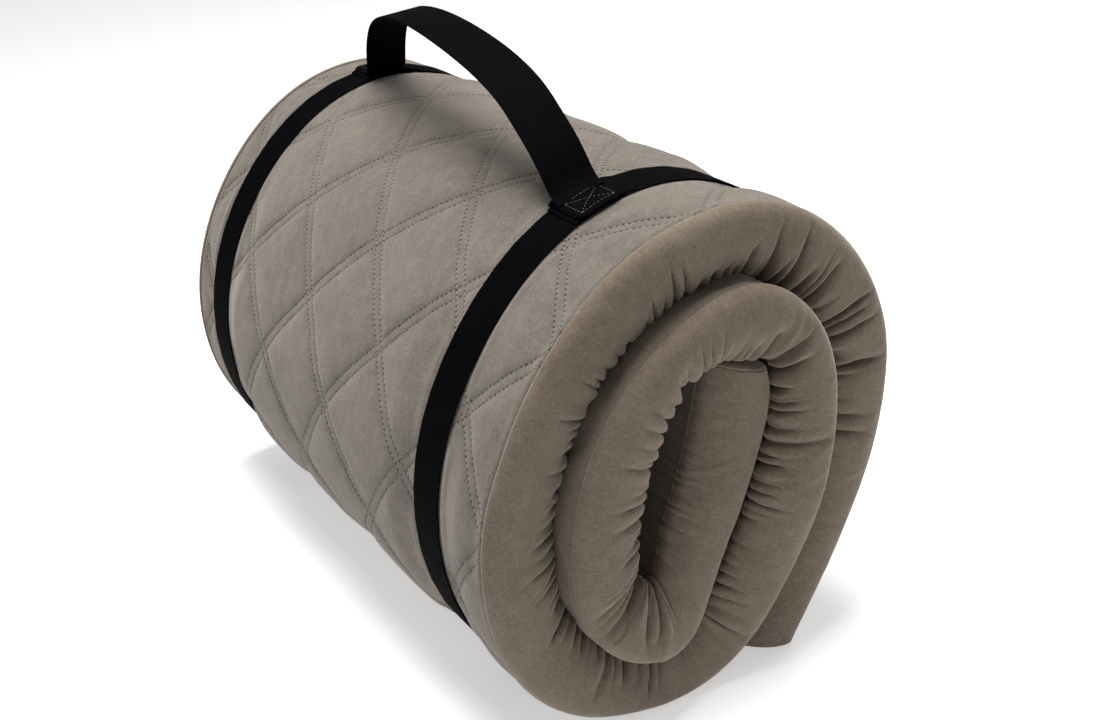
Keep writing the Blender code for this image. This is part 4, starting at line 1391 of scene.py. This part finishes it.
def frayed_fibres(label, loop, outward, random):
    """Short fibres that stand out of the webbing's cut end; half of the rear end's gather at
    its corner on the -X side."""
    starts, ends = [], []
    y = outward * (TAB_L / 2 - 0.9)
    low_x = -1.0 if loop.over([-10.0], 0, 0)[0][0] < loop.over([10.0], 0, 0)[0][0] else 1.0
    for k in range(110):
        x = random.uniform(-1, 1) * (HANDLE_W / 2 - 7.5)
        if label == "rear" and k % 2:
            x = low_x * (HANDLE_W / 2 - 7.0 - abs(random.normal(0, 2.5)))
        up = TAB_UNDER - 0.8 + random.uniform(0.2, 1.0)
        starts.append(loop.over([x], y, up)[0])
        ends.append(loop.over([x + random.normal(0, 1.6)],
                              y + outward * random.uniform(1.0, 5.5),
                              up + random.normal(0.0, 0.9))[0])
    ob = strands("frayed_fibres_" + label, starts, ends, np.array([0.3, 0.2, 0.93]),
                 radius=0.11, flat=0.9, sag=0.1)
    fit(ob, FIBRE, "harness", "handle_webbing")


quilting_stitches()
box_stitch("front", LOOPS["front"], GREY_THREAD)
box_stitch("rear", LOOPS["rear"], BLACK_THREAD)
fray_random = np.random.RandomState(90)
frayed_fibres("front", LOOPS["front"], -1.0, fray_random)
frayed_fibres("rear", LOOPS["rear"], 1.0, fray_random)

# ------------------------------------------------------------------ zip
for node in ("zip_slider", "zip_pull"):
    NODES[node].data.materials.clear()
    NODES[node].data.materials.append(METAL)

# a straight bar that lies along Y: its middle in the section, its two ends, and the half
# sizes and directions of its width and thickness
Bar = namedtuple("Bar", "centre front rear half_width half_thick across outward")


def bar_of(node):
    points = np.array([v.co for v in NODES[node].data.vertices]) / MM - ORIGIN_SHIFT
    corners = np.unique(np.round(points[:, [0, 2]], 2), axis=0)
    centre = corners.mean(0)
    corners = corners[np.argsort(np.arctan2(*(corners - centre).T[::-1]))]
    width, thick = corners[1] - corners[0], corners[2] - corners[1]
    if np.hypot(*width) < np.hypot(*thick):
        width, thick = thick, width
    slab_end = outer_at([0.0])[0] - outer_at([4.0])[0]
    outward = unit(thick) if thick @ slab_end > 0 else -unit(thick)
    return Bar(centre, points[:, 1].min(), points[:, 1].max(), np.hypot(*width) / 2,
               np.hypot(*thick) / 2, unit(width), outward)


def in_bar(bar, x, y, up):
    """Points of a bar: x across it and up off its middle."""
    x, y, up = np.broadcast_arrays(x, y, up)
    return in_space(bar.centre + bar.across * x[..., None] + bar.outward * up[..., None], y)


def woven_strip(name, bar, height, seed):
    """Strip that fills a bar to a share of its thickness, with rounded selvedges and a
    surface that is never quite flat."""
    rows = spaced(bar.front + 0.05, bar.rear - 0.05, 1.5)
    columns = np.concatenate([np.linspace(-1, 1, 17), np.linspace(1, -1, 9)[1:-1]])
    is_top = np.arange(len(columns)) < 17
    y, x = np.meshgrid(rows, columns, indexing="ij")
    edge = np.clip((np.abs(x) - 0.88) / 0.12, 0, 1)**2
    ribs = 0.10 * (0.5 + 0.5 * np.cos(np.pi * 5 * x))
    uneven = 0.10 * (noise(y / 11.0, x * 1.7, seed) + 1)
    top = ((2 * height - 1) * bar.half_thick - 0.10 - ribs - uneven
           - 0.35 * bar.half_thick * edge)
    bottom = -bar.half_thick + 0.04 + 0.25 * bar.half_thick * edge
    half = bar.half_width - 0.05 - 0.05 * (noise(y / 9.0, x * 0, seed + 1) + 1)
    points = in_bar(bar, x * half, y, np.where(is_top, top, bottom))
    return tube(name, points, np.stack([y, x * bar.half_width], -1), sharp_degrees=55)


def bar_strands(name, bar, starts, ends, radius, flat):
    """Strands in a bar from starts to ends, each an (x, y, up)."""
    return strands(name, in_bar(bar, *starts), in_bar(bar, *ends), in_space(bar.outward, 0.0),
                   radius, flat)


def zip_tape(side, chain, seed):
    """A tape, and the row of stitches along its edge away from the chain."""
    bar = bar_of("zip_tape_" + side)
    ob = woven_strip("zip_tape_woven_" + side, bar, height=0.98, seed=seed)
    fit(ob, TAPE, "mattress", "zip_tape", "zip_tape_" + side)
    away = 1.0 if (bar.centre - chain.centre) @ bar.across > 0 else -1.0
    y = np.arange(bar.front + 2.0, bar.rear - 4.5, 3.0)
    x, up, stitch = away * (bar.half_width - 1.3), bar.half_thick - 0.16, 2.3
    ob = bar_strands("zip_tape_seam_" + side, bar, (x, y, up), (x, y + stitch, up),
                     radius=0.20, flat=0.7)
    fit(ob, THREAD, "mattress", "zip_tape")


def zip_coil(chain):
    """Teeth from both sides, meshed over a woven cord."""
    ob = woven_strip("zip_chain_cord", chain, height=0.55, seed=71)
    fit(ob, COIL, "mattress", "zip_nylon")
    y = np.arange(chain.front + 0.6, chain.rear - 0.8, 1.5)
    root, tip = chain.half_width - 0.35, chain.half_width * 0.32
    side = np.repeat([-1.0, 1.0], len(y))
    tooth_y = np.r_[y, y + 0.72]
    up = chain.half_thick - 0.40
    ob = bar_strands("zip_coil", chain, (side * root, tooth_y, up),
                     (side * -tip, tooth_y, up), radius=0.36, flat=0.95)
    fit(ob, COIL, "mattress", "zip_nylon", "zip_chain")


def zip_stop(where):
    """A metal staple: three ridges across the chain."""
    bar = bar_of("zip_stop_" + where)
    y = np.linspace(bar.front + 0.9, bar.rear - 0.9, 3)
    x = bar.half_width - 0.1
    ob = bar_strands("zip_stop_" + where + "_staple", bar, (-x, y, 0.0), (x, y, 0.0),
                     radius=0.95, flat=0.62)
    fit(ob, METAL, "mattress", "zip_metal", "zip_stop_" + where)


CHAIN = bar_of("zip_chain")
zip_tape("quilt_side", CHAIN, seed=61)
zip_tape("plain_side", CHAIN, seed=63)
zip_coil(CHAIN)
zip_stop("front")
zip_stop("rear")


# ------------------------------------------------------------------ floor, light, camera
def studio_floor():
    reach = 6000
    corners = [(-reach, -reach, 0), (reach, -reach, 0), (reach, reach, 0), (-reach, reach, 0)]
    floor = mesh_from("studio_floor", corners, [(0, 1, 2, 3)], smooth=False)
    mat = Material("floor_pale")
    mottle = mat.noise(mat.place(), scale=3.0, detail=2.0, roughness=0.55)
    mat.colour(mat.mix((0.86, 0.86, 0.86), (0.88, 0.88, 0.88), mottle))
    mat.surface(roughness=0.9, specular=0.1)
    mat.inputs["Emission Color"].default_value = (1, 1, 1, 1)
    mat.inputs["Emission Strength"].default_value = 0.45
    floor.data.materials.append(mat.material)


def studio_world():
    """Soft light all round; seen directly, the backdrop is as pale as the floor."""
    world = bpy.context.scene.world or bpy.data.worlds.new("studio")
    bpy.context.scene.world = world
    world.use_nodes = True
    tree = world.node_tree
    light = tree.nodes.get("Background") or tree.nodes.new("ShaderNodeBackground")
    light.inputs["Color"].default_value = (0.95, 0.97, 1.0, 1)
    light.inputs["Strength"].default_value = 0.33
    camera_ray = add_node(tree, "LightPath", {}, output="Is Camera Ray")
    pale = add_node(tree, "Background", {"Color": (0.97, 0.98, 1.0, 1), "Strength": 1.0})
    either = add_node(tree, "MixShader",
                      {0: camera_ray, 1: Value(tree, light.outputs[0]), 2: pale})
    output = (next((n for n in tree.nodes if n.type == "OUTPUT_WORLD"), None)
              or tree.nodes.new("ShaderNodeOutputWorld"))
    feed(tree, output.inputs["Surface"], either)


def area_light(name, place, size, power, colour):
    """Square light aimed at the roll; metres and watts."""
    light = bpy.data.lights.new(name, "AREA")
    light.shape = "RECTANGLE"
    light.size = light.size_y = size
    light.energy = power
    light.color = colour
    ob = bpy.data.objects.new(name, light)
    bpy.context.scene.collection.objects.link(ob)
    ob.location = place
    aim = Vector((0.0, 0.0, 0.2)) - Vector(place)
    ob.rotation_euler = aim.to_track_quat("-Z", "Y").to_euler()


def leaned(vector):
    """A vector of the roll's own frame, leaned with the roll."""
    vector = np.array(vector)
    return in_space(turn(vector[[0, 2]], LEAN), vector[1])


def view_camera():
    """Placed from the front end of the roll's axis, and leaned with the roll."""
    place = (leaned((-697.53, -798.08, 367.52)) + np.array([0, -HALF, AXIS_H])
             + ORIGIN_SHIFT) * MM
    right = leaned((0.83873, -0.51371, 0.18065))
    up = leaned((0.0, 0.33175, 0.94337))
    forward = leaned((0.54455, 0.79123, -0.27825))
    data = bpy.data.cameras.new("view")
    data.sensor_width = 36.0
    data.lens = 49.090909
    data.clip_start = 0.01
    camera = bpy.data.objects.new("view", data)
    bpy.context.scene.collection.objects.link(camera)
    pose = Matrix.Identity(4)
    for row in range(3):
        pose[row] = right[row], up[row], -forward[row], place[row]
    camera.matrix_world = pose
    bpy.context.scene.camera = camera
    bpy.context.scene.view_settings.view_transform = "Standard"


studio_floor()
studio_world()
area_light("overhead_softbox", place=(0.06, 0.02, 2.0), size=1.1, power=62,
           colour=(1.0, 0.99, 0.97))
area_light("left_fill", place=(-2.2, -0.9, 1.1), size=1.6, power=1.4, colour=(0.97, 0.98, 1.0))
area_light("right_rim", place=(1.9, 0.9, 1.3), size=1.2, power=4.2, colour=(1.0, 0.98, 0.95))
view_camera()
